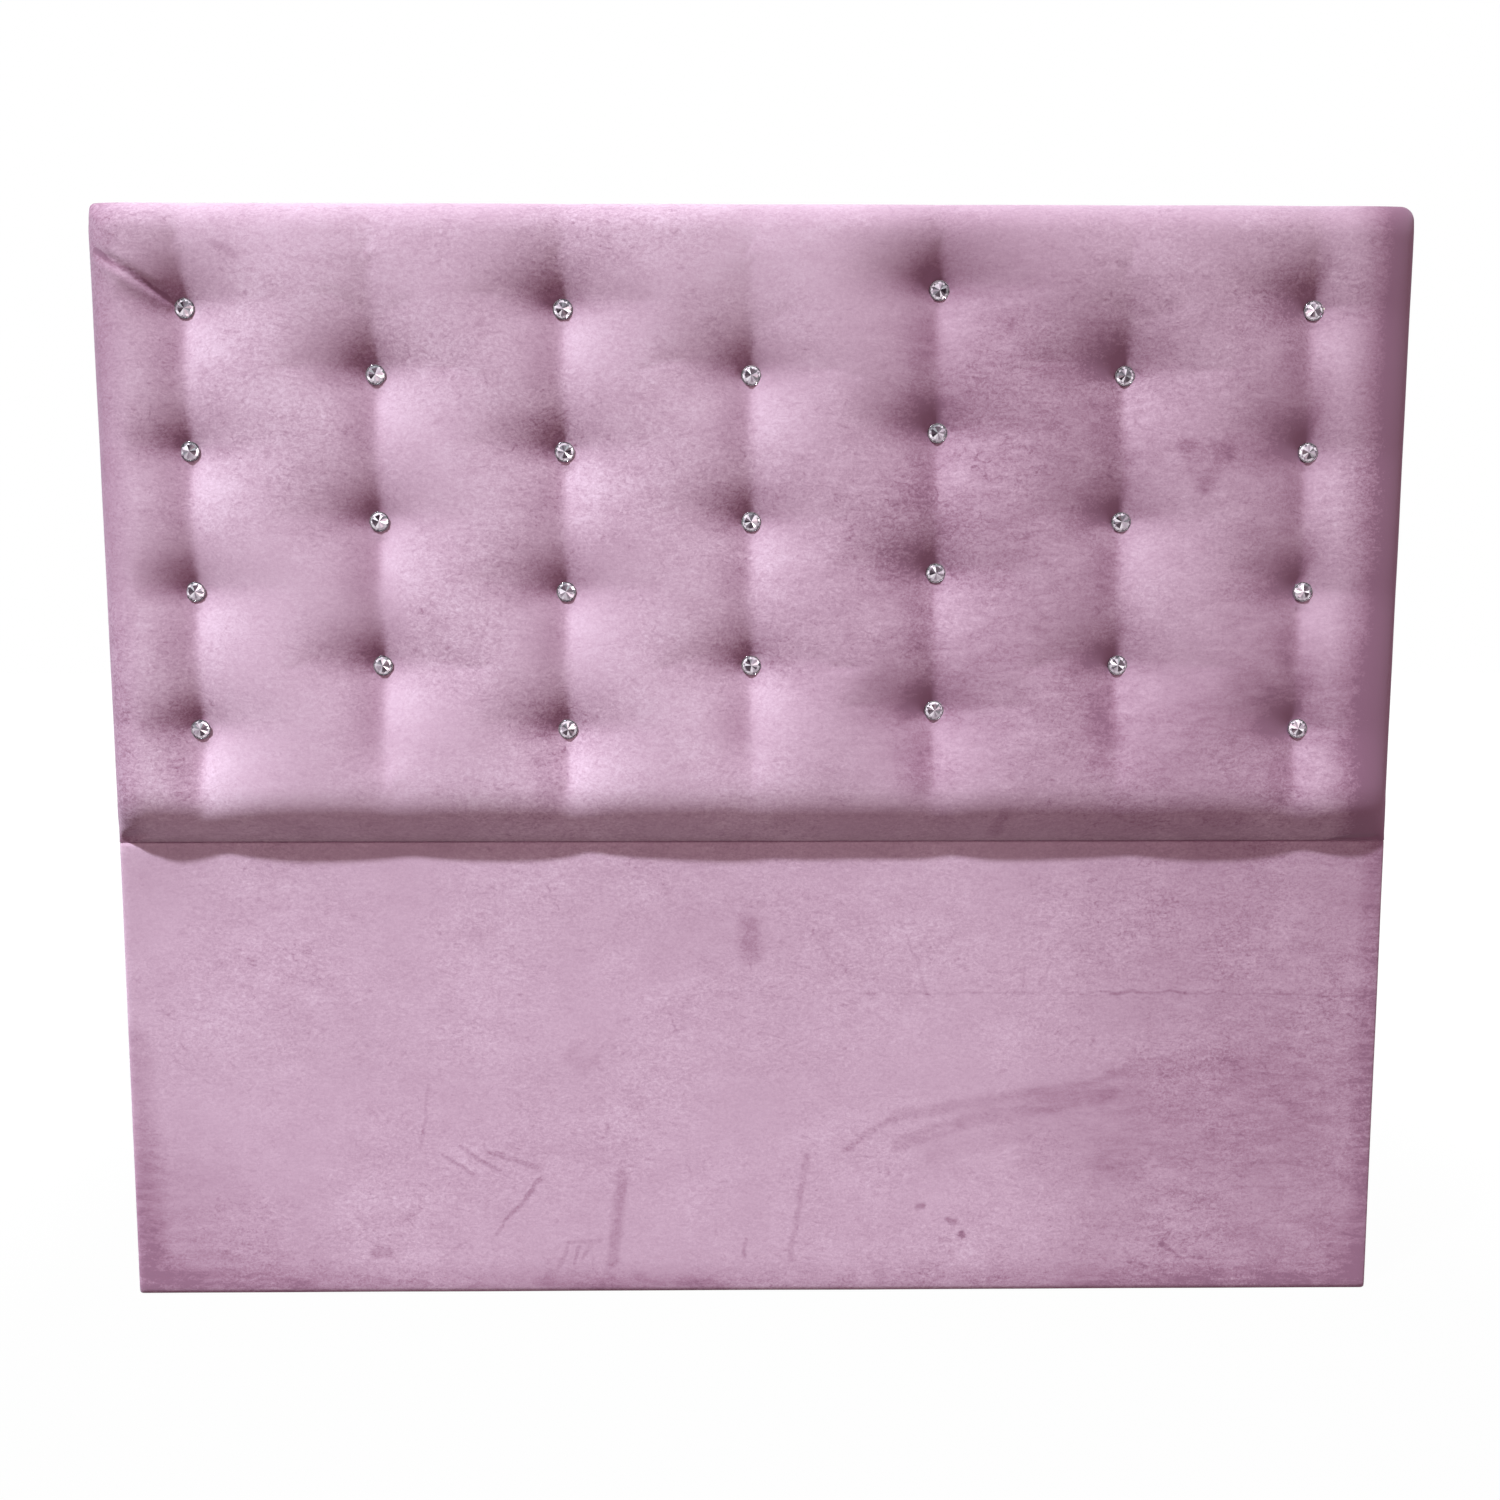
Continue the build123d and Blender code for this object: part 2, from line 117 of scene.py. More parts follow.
def noise(tree, place, scale, detail=2.0, roughness=0.5, distortion=0.0, output="Fac"):
    """Cloudy noise from 0 to 1."""
    values = {"Vector": place, "Scale": scale, "Detail": detail}
    values |= {"Roughness": roughness, "Distortion": distortion}
    return add_node(tree, "ShaderNodeTexNoise", values, output)


def combine(tree, operation, first, second, third=0.0):
    """One sum of two or three values."""
    return add_node(tree, "ShaderNodeMath", {0: first, 1: second, 2: third}, operation=operation)


def paint(tree, shader, amount, *stops):
    """Colour the surface along an amount from 0 to 1."""
    ramp = new_node(tree, "ShaderNodeValToRGB", {"Fac": amount})
    while len(ramp.color_ramp.elements) < len(stops):
        ramp.color_ramp.elements.new(0.5)
    for element, (position, colour) in zip(ramp.color_ramp.elements, stops):
        element.position = position
        element.color = (*colour, 1)
    set_sockets(tree, shader, {"Base Color": ramp.outputs["Color"]})


def relief(tree, shader, height, strength, distance):
    """Small relief on the surface."""
    values = {"Height": height, "Strength": strength, "Distance": distance}
    set_sockets(tree, shader, {"Normal": add_node(tree, "ShaderNodeBump", values)})


def pine_finish(name, stretch):
    """Planed pine with its grain along one batten direction."""
    finish, tree, shader = new_finish(name, roughness=0.62)
    place = surface_place(tree, stretch)
    rings = noise(tree, place, scale=34, detail=3, distortion=0.8)
    fibres = noise(tree, place, scale=260)
    grain = combine(tree, "MULTIPLY_ADD", fibres, 0.3, rings)
    dark, middle, pale = (0.52, 0.33, 0.17), (0.74, 0.55, 0.33), (0.80, 0.63, 0.42)
    paint(tree, shader, grain, (0.42, dark), (0.6, middle), (0.85, pale))
    relief(tree, shader, fibres, strength=0.3, distance=0.0004)
    return finish


def dress(finish, *node_names):
    """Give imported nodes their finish."""
    for node_name in node_names:
        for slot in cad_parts[node_name].material_slots:
            slot.material = finish


upright_pine = pine_finish("upright_pine", (1, 1, 0.05))
level_pine = pine_finish("level_pine", (0.05, 1, 1))
dress(upright_pine, "frame_left_stile", "frame_right_stile", "frame_left_stud", "frame_right_stud")
dress(level_pine, "frame_top_rail", "frame_middle_rail", "frame_bottom_rail")


# Face board: 6 mm plywood screwed to the front of the frame, with a hole behind each button.
# Its faces show long grain and its edges show the plies.
def bands(tree, place, direction, scale, distortion, detail=2.0, detail_scale=1.0):
    """Wavy parallel bands from 0 to 1."""
    values = {"Vector": place, "Scale": scale, "Distortion": distortion}
    values |= {"Detail": detail, "Detail Scale": detail_scale}
    return add_node(tree, "ShaderNodeTexWave", values, "Fac", bands_direction=direction)


plywood, tree, shader = new_finish("plywood", roughness=0.6)
face_grain = noise(tree, surface_place(tree, (0.08, 1, 1)), scale=60, detail=3, distortion=0.4)
plies = bands(tree, surface_place(tree), "Y", scale=210.0, distortion=0.3)
board_grain = combine(tree, "MULTIPLY_ADD", plies, 0.25, face_grain)
dark, middle, pale = (0.50, 0.35, 0.21), (0.67, 0.51, 0.34), (0.74, 0.60, 0.42)
paint(tree, shader, board_grain, (0.4, dark), (0.6, middle), (0.9, pale))
relief(tree, shader, face_grain, strength=0.2, distance=0.0004)
dress(plywood, "face_board")


# Screws and tack staples: zinc-plated countersunk screws hold the battens and the board, and
# fine wire staples hold the tack strip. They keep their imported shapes.
def steel_finish(name, dark, bright, roughness):
    """Plated steel with fine scratches."""
    finish, tree, shader = new_finish(name, roughness, {"Metallic": 1.0})
    wear = noise(tree, surface_place(tree), scale=900)
    paint(tree, shader, wear, (0.3, dark), (0.7, bright))
    relief(tree, shader, wear, strength=0.15, distance=0.0002)
    return finish


screw_steel = steel_finish("screw_steel", (0.50, 0.46, 0.34), (0.70, 0.67, 0.55), 0.35)
staple_steel = steel_finish("staple_steel", (0.52, 0.52, 0.55), (0.74, 0.74, 0.77), 0.3)
dress(screw_steel, "frame_screws", "face_board_screws")
dress(staple_steel, "tack_strip_staples", "cover_staples")


# Tack strip: a band of stiff grey-brown card stapled over the hems of both covers, which gives
# the flat panel its straight top edge.
card, tree, shader = new_finish("tack_card", roughness=0.8)
card_fibre = noise(tree, surface_place(tree, (0.3, 1, 1)), scale=500, detail=3)
paint(tree, shader, card_fibre, (0.35, (0.42, 0.33, 0.23)), (0.65, (0.55, 0.45, 0.32)))
relief(tree, shader, card_fibre, strength=0.3, distance=0.0003)
dress(card, "tack_strip")


# Upper foam: a thick pad of cream upholstery foam glued to the board. Its front has the form of
# the buttoned cushion, a little inside the velvet, with rounded edges and a dip at each button.
board_front = -0.01835
headboard_side = 0.7
headboard_height = 1.2
seam_height = 0.52
cushion_height = headboard_height - seam_height

column_pitch = 0.1985
column_places = [-0.004 + (index - 3) * column_pitch for index in range(7)]
long_column = [0.126, 0.274, 0.422, 0.570]
short_column = [0.195, 0.3485, 0.502]
high_column, high_lift = 4, 0.020
column_rows = []
for index in range(7):
    lift = high_lift if index == high_column else 0
    column_rows.append([rise + lift for rise in (short_column if index % 2 else long_column)])
button_spots = [(x, rise) for x, rises in zip(column_places, column_rows) for rise in rises]

cushion_crown, crown_waves = 0.0482, 0.0008
cushion_side_depth = 0.0090
cushion_seam_depth = 0.0070
left_shoulder, right_shoulder = 0.045, 0.085
side_round_height = 0.028
underside_height = 0.060
slope_share, slope_sharpness = 0.58, 3.4
drawn_in, drawn_in_low, drawn_from = 0.0006, 0.0036, 0.055
top_rounding, top_round_height = 0.036, 0.030
button_depth = 0.0198
button_seat_radius = 0.0112

tuft_pull = 0.0196
tuft_reach_across = 0.044
tuft_reach_above = 0.034
tuft_reach_below = 0.068
tuft_leans = [-0.05, -0.05, -0.05, -0.06, -0.08, -0.14, -0.26]
tuft_spreads = [0.95, 1.0, 1.0, 1.0, 1.0, 1.05, 1.15]
crease_softness = 0.0022
level_crease_softness = 0.0065
crease_fading = 0.12
valley_pull = 0.0100
valley_reach_left, valley_reach_right = 0.027, 0.040

# Creases pressed into the cushion: start and end as x and rise, width, depth.
cushion_creases = [
    ((-0.686, 0.627), (-0.610, 0.577), 0.0042, 0.0050),
    ((-0.697, 0.661), (-0.677, 0.640), 0.0040, 0.0012),
    ((-0.696, 0.674), (-0.668, 0.657), 0.0036, 0.0012),
    ((-0.692, 0.648), (-0.680, 0.622), 0.0036, 0.0010),
    ((-0.696, 0.004), (-0.664, 0.013), 0.0032, 0.0026),
    ((-0.697, 0.012), (-0.672, 0.018), 0.0032, -0.0020),
    ((0.636, 0.001), (0.692, 0.003), 0.0036, 0.0036),
]


def graded_lines(knots, fine_places, fine, coarse, reach):
    """Lines through all knots, closer together near the fine places."""
    lines = [knots[0]]
    for start, end in zip(knots, knots[1:]):
        steps = np.linspace(start, end, 200)
        nearest = np.min([np.abs(steps - place) for place in fine_places], axis=0)
        spacing = coarse + (fine - coarse) * np.exp(-nearest / reach)
        count = np.concatenate([[0], np.cumsum((1 / spacing[1:] + 1 / spacing[:-1]) / 2)])
        count *= (end - start) / (len(steps) - 1)
        cells = max(1, round(count[-1]))
        lines += list(np.interp(np.arange(1, cells + 1) / cells * count[-1], count, steps))
    return np.array(lines)


def edge_run(width, height):
    """Length of the cloth over a quarter-round edge, and its angle along that length."""
    angles = np.linspace(0, math.pi / 2, 60)
    steps = np.hypot(width * np.sin(angles), height * np.cos(angles))
    run = np.concatenate([[0], np.cumsum((steps[1:] + steps[:-1]) / 2)]) * (angles[1] - angles[0])
    return run, angles


def fold_over(lines, low, high, low_round, high_round, round_height):
    """Lines along the cloth turned into places between two rounded edges, and their fullness."""
    low_run, angles = edge_run(low_round, round_height)
    high_run, _ = edge_run(high_round, round_height)
    start, end = low + low_round - low_run[-1], high - high_round + high_run[-1]
    lines = start + (lines - lines[0]) / (lines[-1] - lines[0]) * (end - start)
    low_angle = np.interp(lines - start, low_run, angles)
    high_angle = np.interp(end - lines, high_run, angles)
    places = np.clip(lines, low + low_round, high - high_round)
    places = places - low_round * np.cos(low_angle) + high_round * np.cos(high_angle)
    return places, np.sin(low_angle) * np.sin(high_angle)


def fold_grid(lines_across, lines_up, height, side_rounds, end_rounds):
    """A grid of cloth lines over a face with rounded edges: its places and their fullness.

    The rounds are the widths of the two rounded edges and their height.
    """
    x, full_x = fold_over(lines_across, -headboard_side, headboard_side, *side_rounds)
    up, full_up = fold_over(lines_up, 0, height, *end_rounds)
    return *np.meshgrid(x, up), *np.meshgrid(full_x, full_up)


def sloped_underside(rise):
    """Fullness of the cushion above its seam: a straight slope that rounds over into the face."""
    shares = np.linspace(0, 1, 80)
    slope = 1 / (1 + (shares / slope_share) ** slope_sharpness)
    fullness = np.concatenate([[0], np.cumsum(slope[1:] + slope[:-1])])
    return np.interp(rise / underside_height, shares, fullness / fullness[-1])


def soft_waves(x, z, length, seed):
    """Gentle waves of about this length, from about -1 to 1."""
    made = np.random.default_rng(seed)
    total = np.zeros(np.broadcast(x, z).shape)
    for _ in range(9):
        heading, start = made.uniform(0, math.tau, 2)
        pitch = length * made.uniform(0.7, 1.5)
        total += np.sin((x * math.cos(heading) + z * math.sin(heading)) / pitch * math.tau + start)
    return total / 3


def soft_distance(distance, softness):
    """Distance with its sharp turn at zero rounded off."""
    return np.sqrt(distance**2 + softness**2) - softness


def cushion_depth(x, rise, fullness):
    """Depth of the cushion's front: a full crown, pulled down at the buttons and columns."""
    made = np.random.default_rng(7)
    dip = np.zeros(x.shape)
    for button_x, button_rise in button_spots:
        column = column_places.index(button_x)
        pull = tuft_pull * made.uniform(0.93, 1.07)
        lean = tuft_leans[column] + made.uniform(-0.06, 0.06)
        reach = tuft_spreads[column] * made.uniform(0.92, 1.1)
        above = (rise - button_rise) / (0.004 + 0.16 * np.abs(x - button_x))
        above = 0.5 + 0.5 * np.tanh(above)
        lean = lean * (0.3 + 0.7 * above)
        across = x - button_x + lean * (rise - button_rise)
        up = rise - button_rise - lean * (x - button_x)
        upright_softness = crease_softness + 0.07 * np.abs(up)
        level_softness = level_crease_softness + crease_fading * np.abs(across)
        reach_up = tuft_reach_below + (tuft_reach_above - tuft_reach_below) * above
        away = soft_distance(across, upright_softness) / (tuft_reach_across * reach)
        away = away + soft_distance(up, level_softness) / (reach_up * reach)
        dip += pull * np.exp(-away - 0.15 * away**2)
    for column_x, rows in zip(column_places, column_rows):
        nearest = np.min([np.abs(rise - row) for row in rows], axis=0)
        pull = valley_pull * made.uniform(0.85, 1.15) * (1 - 0.35 * nearest / 0.15)
        pull = pull * (0.35 + 0.65 * np.clip((rise - 0.045) / 0.05, 0, 1))
        softness = crease_softness + 0.055 * nearest
        reach = np.where(x < column_x, valley_reach_left, valley_reach_right)
        dip += pull * np.exp(-soft_distance(x - column_x, softness) / reach)
    above_seam = np.clip(rise / 0.04, 0, 1)
    edge = cushion_seam_depth + (cushion_side_depth - cushion_seam_depth) * above_seam
    crown = cushion_crown + crown_waves * soft_waves(x, rise, length=0.19, seed=3)
    return edge + (crown - dip - edge) * fullness


def cushion_form(lines_across, lines_up):
    """Places and depth of the cushion's front, on a grid of lines along the cloth."""
    x, rise, full_x, full_up = fold_grid(
        lines_across,
        lines_up,
        cushion_height,
        side_rounds=(left_shoulder, right_shoulder, side_round_height),
        end_rounds=(underside_height, top_rounding, top_round_height),
    )
    low = rise < underside_height
    full_up[low] = sloped_underside(rise[low])
    return x, rise, cushion_depth(x, rise, full_x * full_up)


def press_creases(x, rise, depth, spread=1.0):
    """Press the small creases in, each with a low ridge along its lower side.

    A larger spread makes wider channels, as in the foam under the cloth.
    """
    for (start_x, start_rise), (end_x, end_rise), width, deep in cushion_creases:
        run_x, run_rise = end_x - start_x, end_rise - start_rise
        length = math.hypot(run_x, run_rise)
        along = ((x - start_x) * run_x + (rise - start_rise) * run_rise) / length**2
        side = ((x - start_x) * run_rise - (rise - start_rise) * run_x) / length
        taper = np.clip(along / 0.25, 0, 1) * np.clip((1 - along) / 0.08 + 0.6, 0, 1)
        taper *= (along > 0) & (along < 1.05)
        depth = depth - deep * taper * np.exp(-((side / width / spread) ** 2))
        if spread == 1:
            depth = depth + 0.35 * deep * taper * np.exp(-(((side - 2.0 * width) / width) ** 2))
    return depth


def seat_buttons(x, rise, depth, lift=0.0):
    """Press the face down to a flat seat under each button.

    The cloth is lifted a little round the lower right of the button, where it bunches.
    """
    for button_x, button_rise in button_spots:
        away = np.hypot(x - button_x, rise - button_rise)
        seat = button_depth + 1.8 * np.clip(away - button_seat_radius + 0.0024, 0, None)
        facing = (0.55 * (x - button_x) - 0.83 * (rise - button_rise)) / np.maximum(away, 0.001)
        swell = lift * np.clip(0.3 + facing, 0, 1) * np.clip((away - 0.0086) / 0.0026, 0, 1)
        floor = button_depth + swell - 0.45 * np.clip(away - 0.0135, 0, None)
        depth = np.maximum(np.minimum(depth, seat), floor)
    return depth


def draw_in(x, rise):
    """The cushion's sides are drawn in a little, most of all just above the seam."""
    along = np.clip(rise / cushion_height, 0, 1)
    drawn = drawn_in + drawn_in_low * (1 - along) * np.clip(rise / drawn_from, 0, 1)
    return x * (1 - drawn / headboard_side)


def grid_faces(columns, rows, flip=False):
    """Quads of a grid whose points run row by row."""
    corner = np.arange((rows - 1) * columns).reshape(rows - 1, columns)[:, :-1].ravel()
    faces = np.stack([corner, corner + 1, corner + columns + 1, corner + columns], axis=1)
    return faces[:, ::-1] if flip else faces


def new_piece(name, points, faces, finish):
    """A new smooth piece on the headboard's one body."""
    mesh = bpy.data.meshes.new(name)
    mesh.from_pydata(np.asarray(points).tolist(), [], [list(map(int, face)) for face in faces])
    mesh.validate()
    mesh.materials.append(finish)
    mesh.shade_smooth()
    piece = new_object(name, mesh)
    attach(piece, "root")
    return piece


def pad_piece(name, x, z, depth):
    """A closed foam pad on the board: its front from a grid, its sides straight, its back flat."""
    rows, columns = x.shape
    front = np.stack([x, board_front - depth, z], axis=-1).reshape(-1, 3)
    back = np.stack([x, np.full_like(x, board_front), z], axis=-1).reshape(-1, 3)
    count = len(front)
    faces = [*grid_faces(columns, rows), *(grid_faces(columns, rows, flip=True) + count)]
    index = np.arange(count).reshape(rows, columns)
    for edge in (index[0], index[:, -1], index[-1, ::-1], index[::-1, 0]):
        for a, b in zip(edge, edge[1:]):
            faces.append((b, a, a + count, b + count))
    return new_piece(name, np.concatenate([front, back]), faces, foam)


foam, tree, shader = new_finish("cream_foam", roughness=0.95)
cells = add_node(tree, "ShaderNodeTexVoronoi", {"Vector": surface_place(tree), "Scale": 700.0})
patches = noise(tree, surface_place(tree), scale=9, detail=3)
foam_tone = combine(tree, "MULTIPLY_ADD", cells, 0.25, patches)
paint(tree, shader, foam_tone, (0.35, (0.80, 0.74, 0.55)), (0.8, (0.90, 0.86, 0.70)))
relief(tree, shader, cells, strength=0.5, distance=0.0008)

cloth_gap = 0.0026
half_run = 0.713
column_knots = [-half_run, *column_places, half_run]
foam_x, foam_rise, foam_depth = cushion_form(
    graded_lines(column_knots, column_places, fine=0.0055, coarse=0.012, reach=0.02),
    np.linspace(-0.010, cushion_height + 0.010, 79),
)
foam_depth = press_creases(foam_x, foam_rise, foam_depth, spread=3.5)
foam_depth = seat_buttons(foam_x, foam_rise, foam_depth)
upper_foam = pad_piece(
    "upper_foam_pad",
    draw_in(foam_x, foam_rise) * (1 - cloth_gap / headboard_side),
    seam_height + cloth_gap + foam_rise * (1 - 2 * cloth_gap / cushion_height),
    np.maximum(foam_depth - cloth_gap, 0.003),
)
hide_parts("upper_foam")


# Lower foam: a thin pad of the same foam under the flat panel, its edges rounded over.
# It lies just inside its cover on all sides.
panel_depth = 0.0095
panel_round = 0.0055
pad_top_round = 0.0025
panel_side_gap = 0.0021
panel_end_gap = 0.0020
panel_front_gap = 0.0019
pad_x, pad_z, full_x, full_z = fold_grid(
    np.linspace(-headboard_side, headboard_side, 90),
    np.linspace(0, seam_height, 40),
    seam_height,
    side_rounds=(panel_round, panel_round, panel_round),
    end_rounds=(panel_round, pad_top_round, panel_round),
)
lower_foam = pad_piece(
    "lower_foam_pad",
    pad_x * (1 - panel_side_gap / headboard_side),
    panel_end_gap + pad_z * (1 - 2 * panel_end_gap / seam_height),
    panel_depth - panel_round * (1 - full_x * full_z) - panel_front_gap,
)
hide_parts("lower_foam")


# Lower cover: pink-mauve velvet stretched over the flat panel. It wraps round the sides and the
# bottom to a flange stapled behind, and its top edge is turned in over the tack strip.
cloth_thickness = 0.0015
flange_back = 0.05915
flange_reach = 0.045


def combine_vectors(tree, operation, first, second=(0, 0, 0), third=(0, 0, 0)):
    """One sum of two or three vectors."""
    sockets = {0: first, 1: second, 2: third}
    return add_node(tree, "ShaderNodeVectorMath", sockets, operation=operation)


def map_range(tree, value, old_range, new_range=(0.0, 1.0), **settings):
    """A value carried over from one range to another."""
    values = {"Value": value, "From Min": old_range[0], "From Max": old_range[1]}
    values |= {"To Min": new_range[0], "To Max": new_range[1]}
    return add_node(tree, "ShaderNodeMapRange", values, **settings)


def new_group(name, kind, inputs, output, output_kind):
    """A new node group with named inputs and one output, and the sockets of its inputs."""
    group = bpy.data.node_groups.new(name, kind)
    for socket, socket_kind in inputs.items():
        group.interface.new_socket(socket, in_out="INPUT", socket_type=f"NodeSocket{socket_kind}")
    group.interface.new_socket(output, in_out="OUTPUT", socket_type=f"NodeSocket{output_kind}")
    return group, new_node(group, "NodeGroupInput").outputs


def nap_or_shade_mark_group():
    """A node group that gives one mark from a start to an end: a brushed mark or painted shade."""
    inputs = dict(Place="Vector", Start="Vector", End="Vector", Width="Float", Weight="Float")
    group, given = new_group("nap_or_shade_mark", "ShaderNodeTree", inputs, "Mark", "Float")
    reach = combine_vectors(group, "SUBTRACT", given["End"], given["Start"])
    away = combine_vectors(group, "SUBTRACT", given["Place"], given["Start"])
    along = combine_vectors(group, "DOT_PRODUCT", away, reach)
    along = combine(group, "DIVIDE", along, combine_vectors(group, "DOT_PRODUCT", reach, reach))
    along = add_node(group, "ShaderNodeClamp", {"Value": along})
    nearest = {0: reach, "Scale": along}
    nearest = add_node(group, "ShaderNodeVectorMath", nearest, operation="SCALE")
    distance = combine_vectors(group, "LENGTH", combine_vectors(group, "SUBTRACT", away, nearest))
    share = combine(group, "DIVIDE", distance, given["Width"])
    fade = map_range(group, share, (1.0, 0.2), interpolation_type="SMOOTHSTEP")
    new_node(group, "NodeGroupOutput", {"Mark": combine(group, "MULTIPLY", fade, given["Weight"])})
    return group


nap_or_shade_mark = nap_or_shade_mark_group()


def velvet_finish(name, marks, tone, crushing):
    """Short-piled velvet: mottled nap, fine pile and the brushed marks that it holds.

    Each mark has its start and end as x and z, its half width and its weight, dark above zero.
    Some marks are brushed into the nap; the wide ones and those along edges and creases are
    painted shade. Tone is the nap's lightness, and the panel's lower tone is painted shade. The
    piece's attribute of painted shading adds painted shade, with painted light where it is below
    zero.
    Crushing is how mottled the nap is in the middle, and how much that grows towards the right.
    """
    sheen = {"Sheen Weight": 0.15, "Sheen Roughness": 0.6, "Sheen Tint": (0.93, 0.95, 1.0, 1)}
    sheen |= {"Diffuse Roughness": 0.6, "Specular IOR Level": 0.08}
    finish, tree, shader = new_finish(name, 0.78, sheen)
    place = surface_place(tree)
    drift = noise(tree, place, scale=3.2, detail=3, roughness=0.55)
    crushed = noise(tree, place, scale=6.5)
    clouds = noise(tree, surface_place(tree, (0.75, 1, 1.25)), scale=26, detail=5, roughness=0.6)
    pile = noise(tree, place, scale=360, detail=3, roughness=0.7, distortion=0.8)
    wisps = noise(tree, surface_place(tree, (0.6, 1, 1.3)), scale=125, detail=4, distortion=2.2)
    flecks = noise(tree, surface_place(tree, (0.8, 1, 1.2)), scale=85, detail=3, distortion=1.6)
    flecks = map_range(tree, flecks, (0.60, 0.72))

    across = add_node(tree, "ShaderNodeSeparateXYZ", {"Vector": place}, "X")
    strength = combine(tree, "MULTIPLY_ADD", across, crushing[1], crushing[0])
    crushed = map_range(tree, crushed, (0.35, 0.65), (0.55, 1.45))
    strength = combine(tree, "MULTIPLY", crushed, strength)
    fine = 0.0
    for layer, weight in ((clouds, 0.30), (wisps, 0.52), (pile, 0.62)):
        layer = combine(tree, "SUBTRACT", layer, 0.5)
        fine = combine(tree, "MULTIPLY_ADD", layer, weight, fine)
    fine = combine(tree, "MULTIPLY_ADD", flecks, -0.14, fine)
    nap = combine(tree, "MULTIPLY_ADD", drift, 0.24, tone - 0.12)
    nap = combine(tree, "MULTIPLY_ADD", fine, strength, nap)
    # Painted shading from the piece's attribute: painted shade darkens the nap, and below zero
    # painted light lightens it.
    painted_shading = add_node(tree, "ShaderNodeAttribute", output="Fac", attribute_name="painted_shading")
    nap = combine(tree, "MULTIPLY_ADD", painted_shading, -0.43, nap)

    flat_place = combine_vectors(tree, "MULTIPLY", place, (1, 0, 1))
    waver = noise(tree, flat_place, scale=45, output="Color")
    waver = combine_vectors(tree, "SUBTRACT", waver, (0.5, 0, 0.5))
    waver = combine_vectors(tree, "MULTIPLY_ADD", waver, (0.012, 0, 0.012), flat_place)
    # The marks darken the nap along streaks: some are brushed marks, others are bands of painted
    # shade.
    marks_and_painted_shade = 0.0
    for (start_x, start_z), (end_x, end_z), width, weight in marks:
        mark = {"Place": waver, "Start": (start_x, 0, start_z), "End": (end_x, 0, end_z)}
        mark |= {"Width": width, "Weight": weight}
        mark = add_node(tree, "ShaderNodeGroup", mark, node_tree=nap_or_shade_mark)
        marks_and_painted_shade = combine(tree, "ADD", marks_and_painted_shade, mark)
    streaks = surface_place(tree, (0.35, 1, 1.3))
    streaks = noise(tree, streaks, scale=75, detail=4, roughness=0.65, distortion=0.6)
    streaks = combine(tree, "MULTIPLY_ADD", streaks, 1.8, 0.1)
    nap = combine(tree, "SUBTRACT", nap, combine(tree, "MULTIPLY", marks_and_painted_shade, streaks))

    paint(
        tree,
        shader,
        nap,
        (0.00, (0.275, 0.116, 0.193)),
        (0.10, (0.342, 0.159, 0.247)),
        (0.50, (0.565, 0.345, 0.460)),
        (0.90, (0.765, 0.550, 0.680)),
    )
    relief(tree, shader, pile, strength=0.35, distance=0.0006)
    return finish


def round_corner(x, away, side, far, radii):
    """Round the two far corners of an outline that spans the headboard, left and right."""
    radius = np.where(x < 0, *radii)
    in_corner = (np.abs(x) > side - radius) & (away > far - radius)
    a = (np.abs(x) - side + radius) / radius
    b = (away - far + radius) / radius
    round_x = np.sign(x) * (side - radius + radius * a * np.sqrt(np.clip(1 - b**2 / 2, 0, 1)))
    round_away = far - radius + radius * b * np.sqrt(np.clip(1 - a**2 / 2, 0, 1))
    return np.where(in_corner, round_x, x), np.where(in_corner, round_away, away)


# The cover behind its front edge: rows of y and of how far they lie in from the outline.
back_profile = [(-0.0150, 0), (-0.006, 0), (0.010, 0), (0.028, 0), (0.044, 0), (0.0545, 0)]
back_profile += [(0.0570, 0.0003), (0.0585, 0.0011), (flange_back, 0.0026), (flange_back, 0.008)]
back_profile += [(flange_back, 0.018), (flange_back, 0.031), (flange_back, flange_reach)]
back_corner = 0.0035
side_sag = 0.0004
hem_inset = 0.0017


def thicken(piece, thickness):
    """Give cloth its thickness, inward from the face."""
    wall = piece.modifiers.new("cloth_thickness", "SOLIDIFY")
    set_all(wall, thickness=thickness, offset=-1)


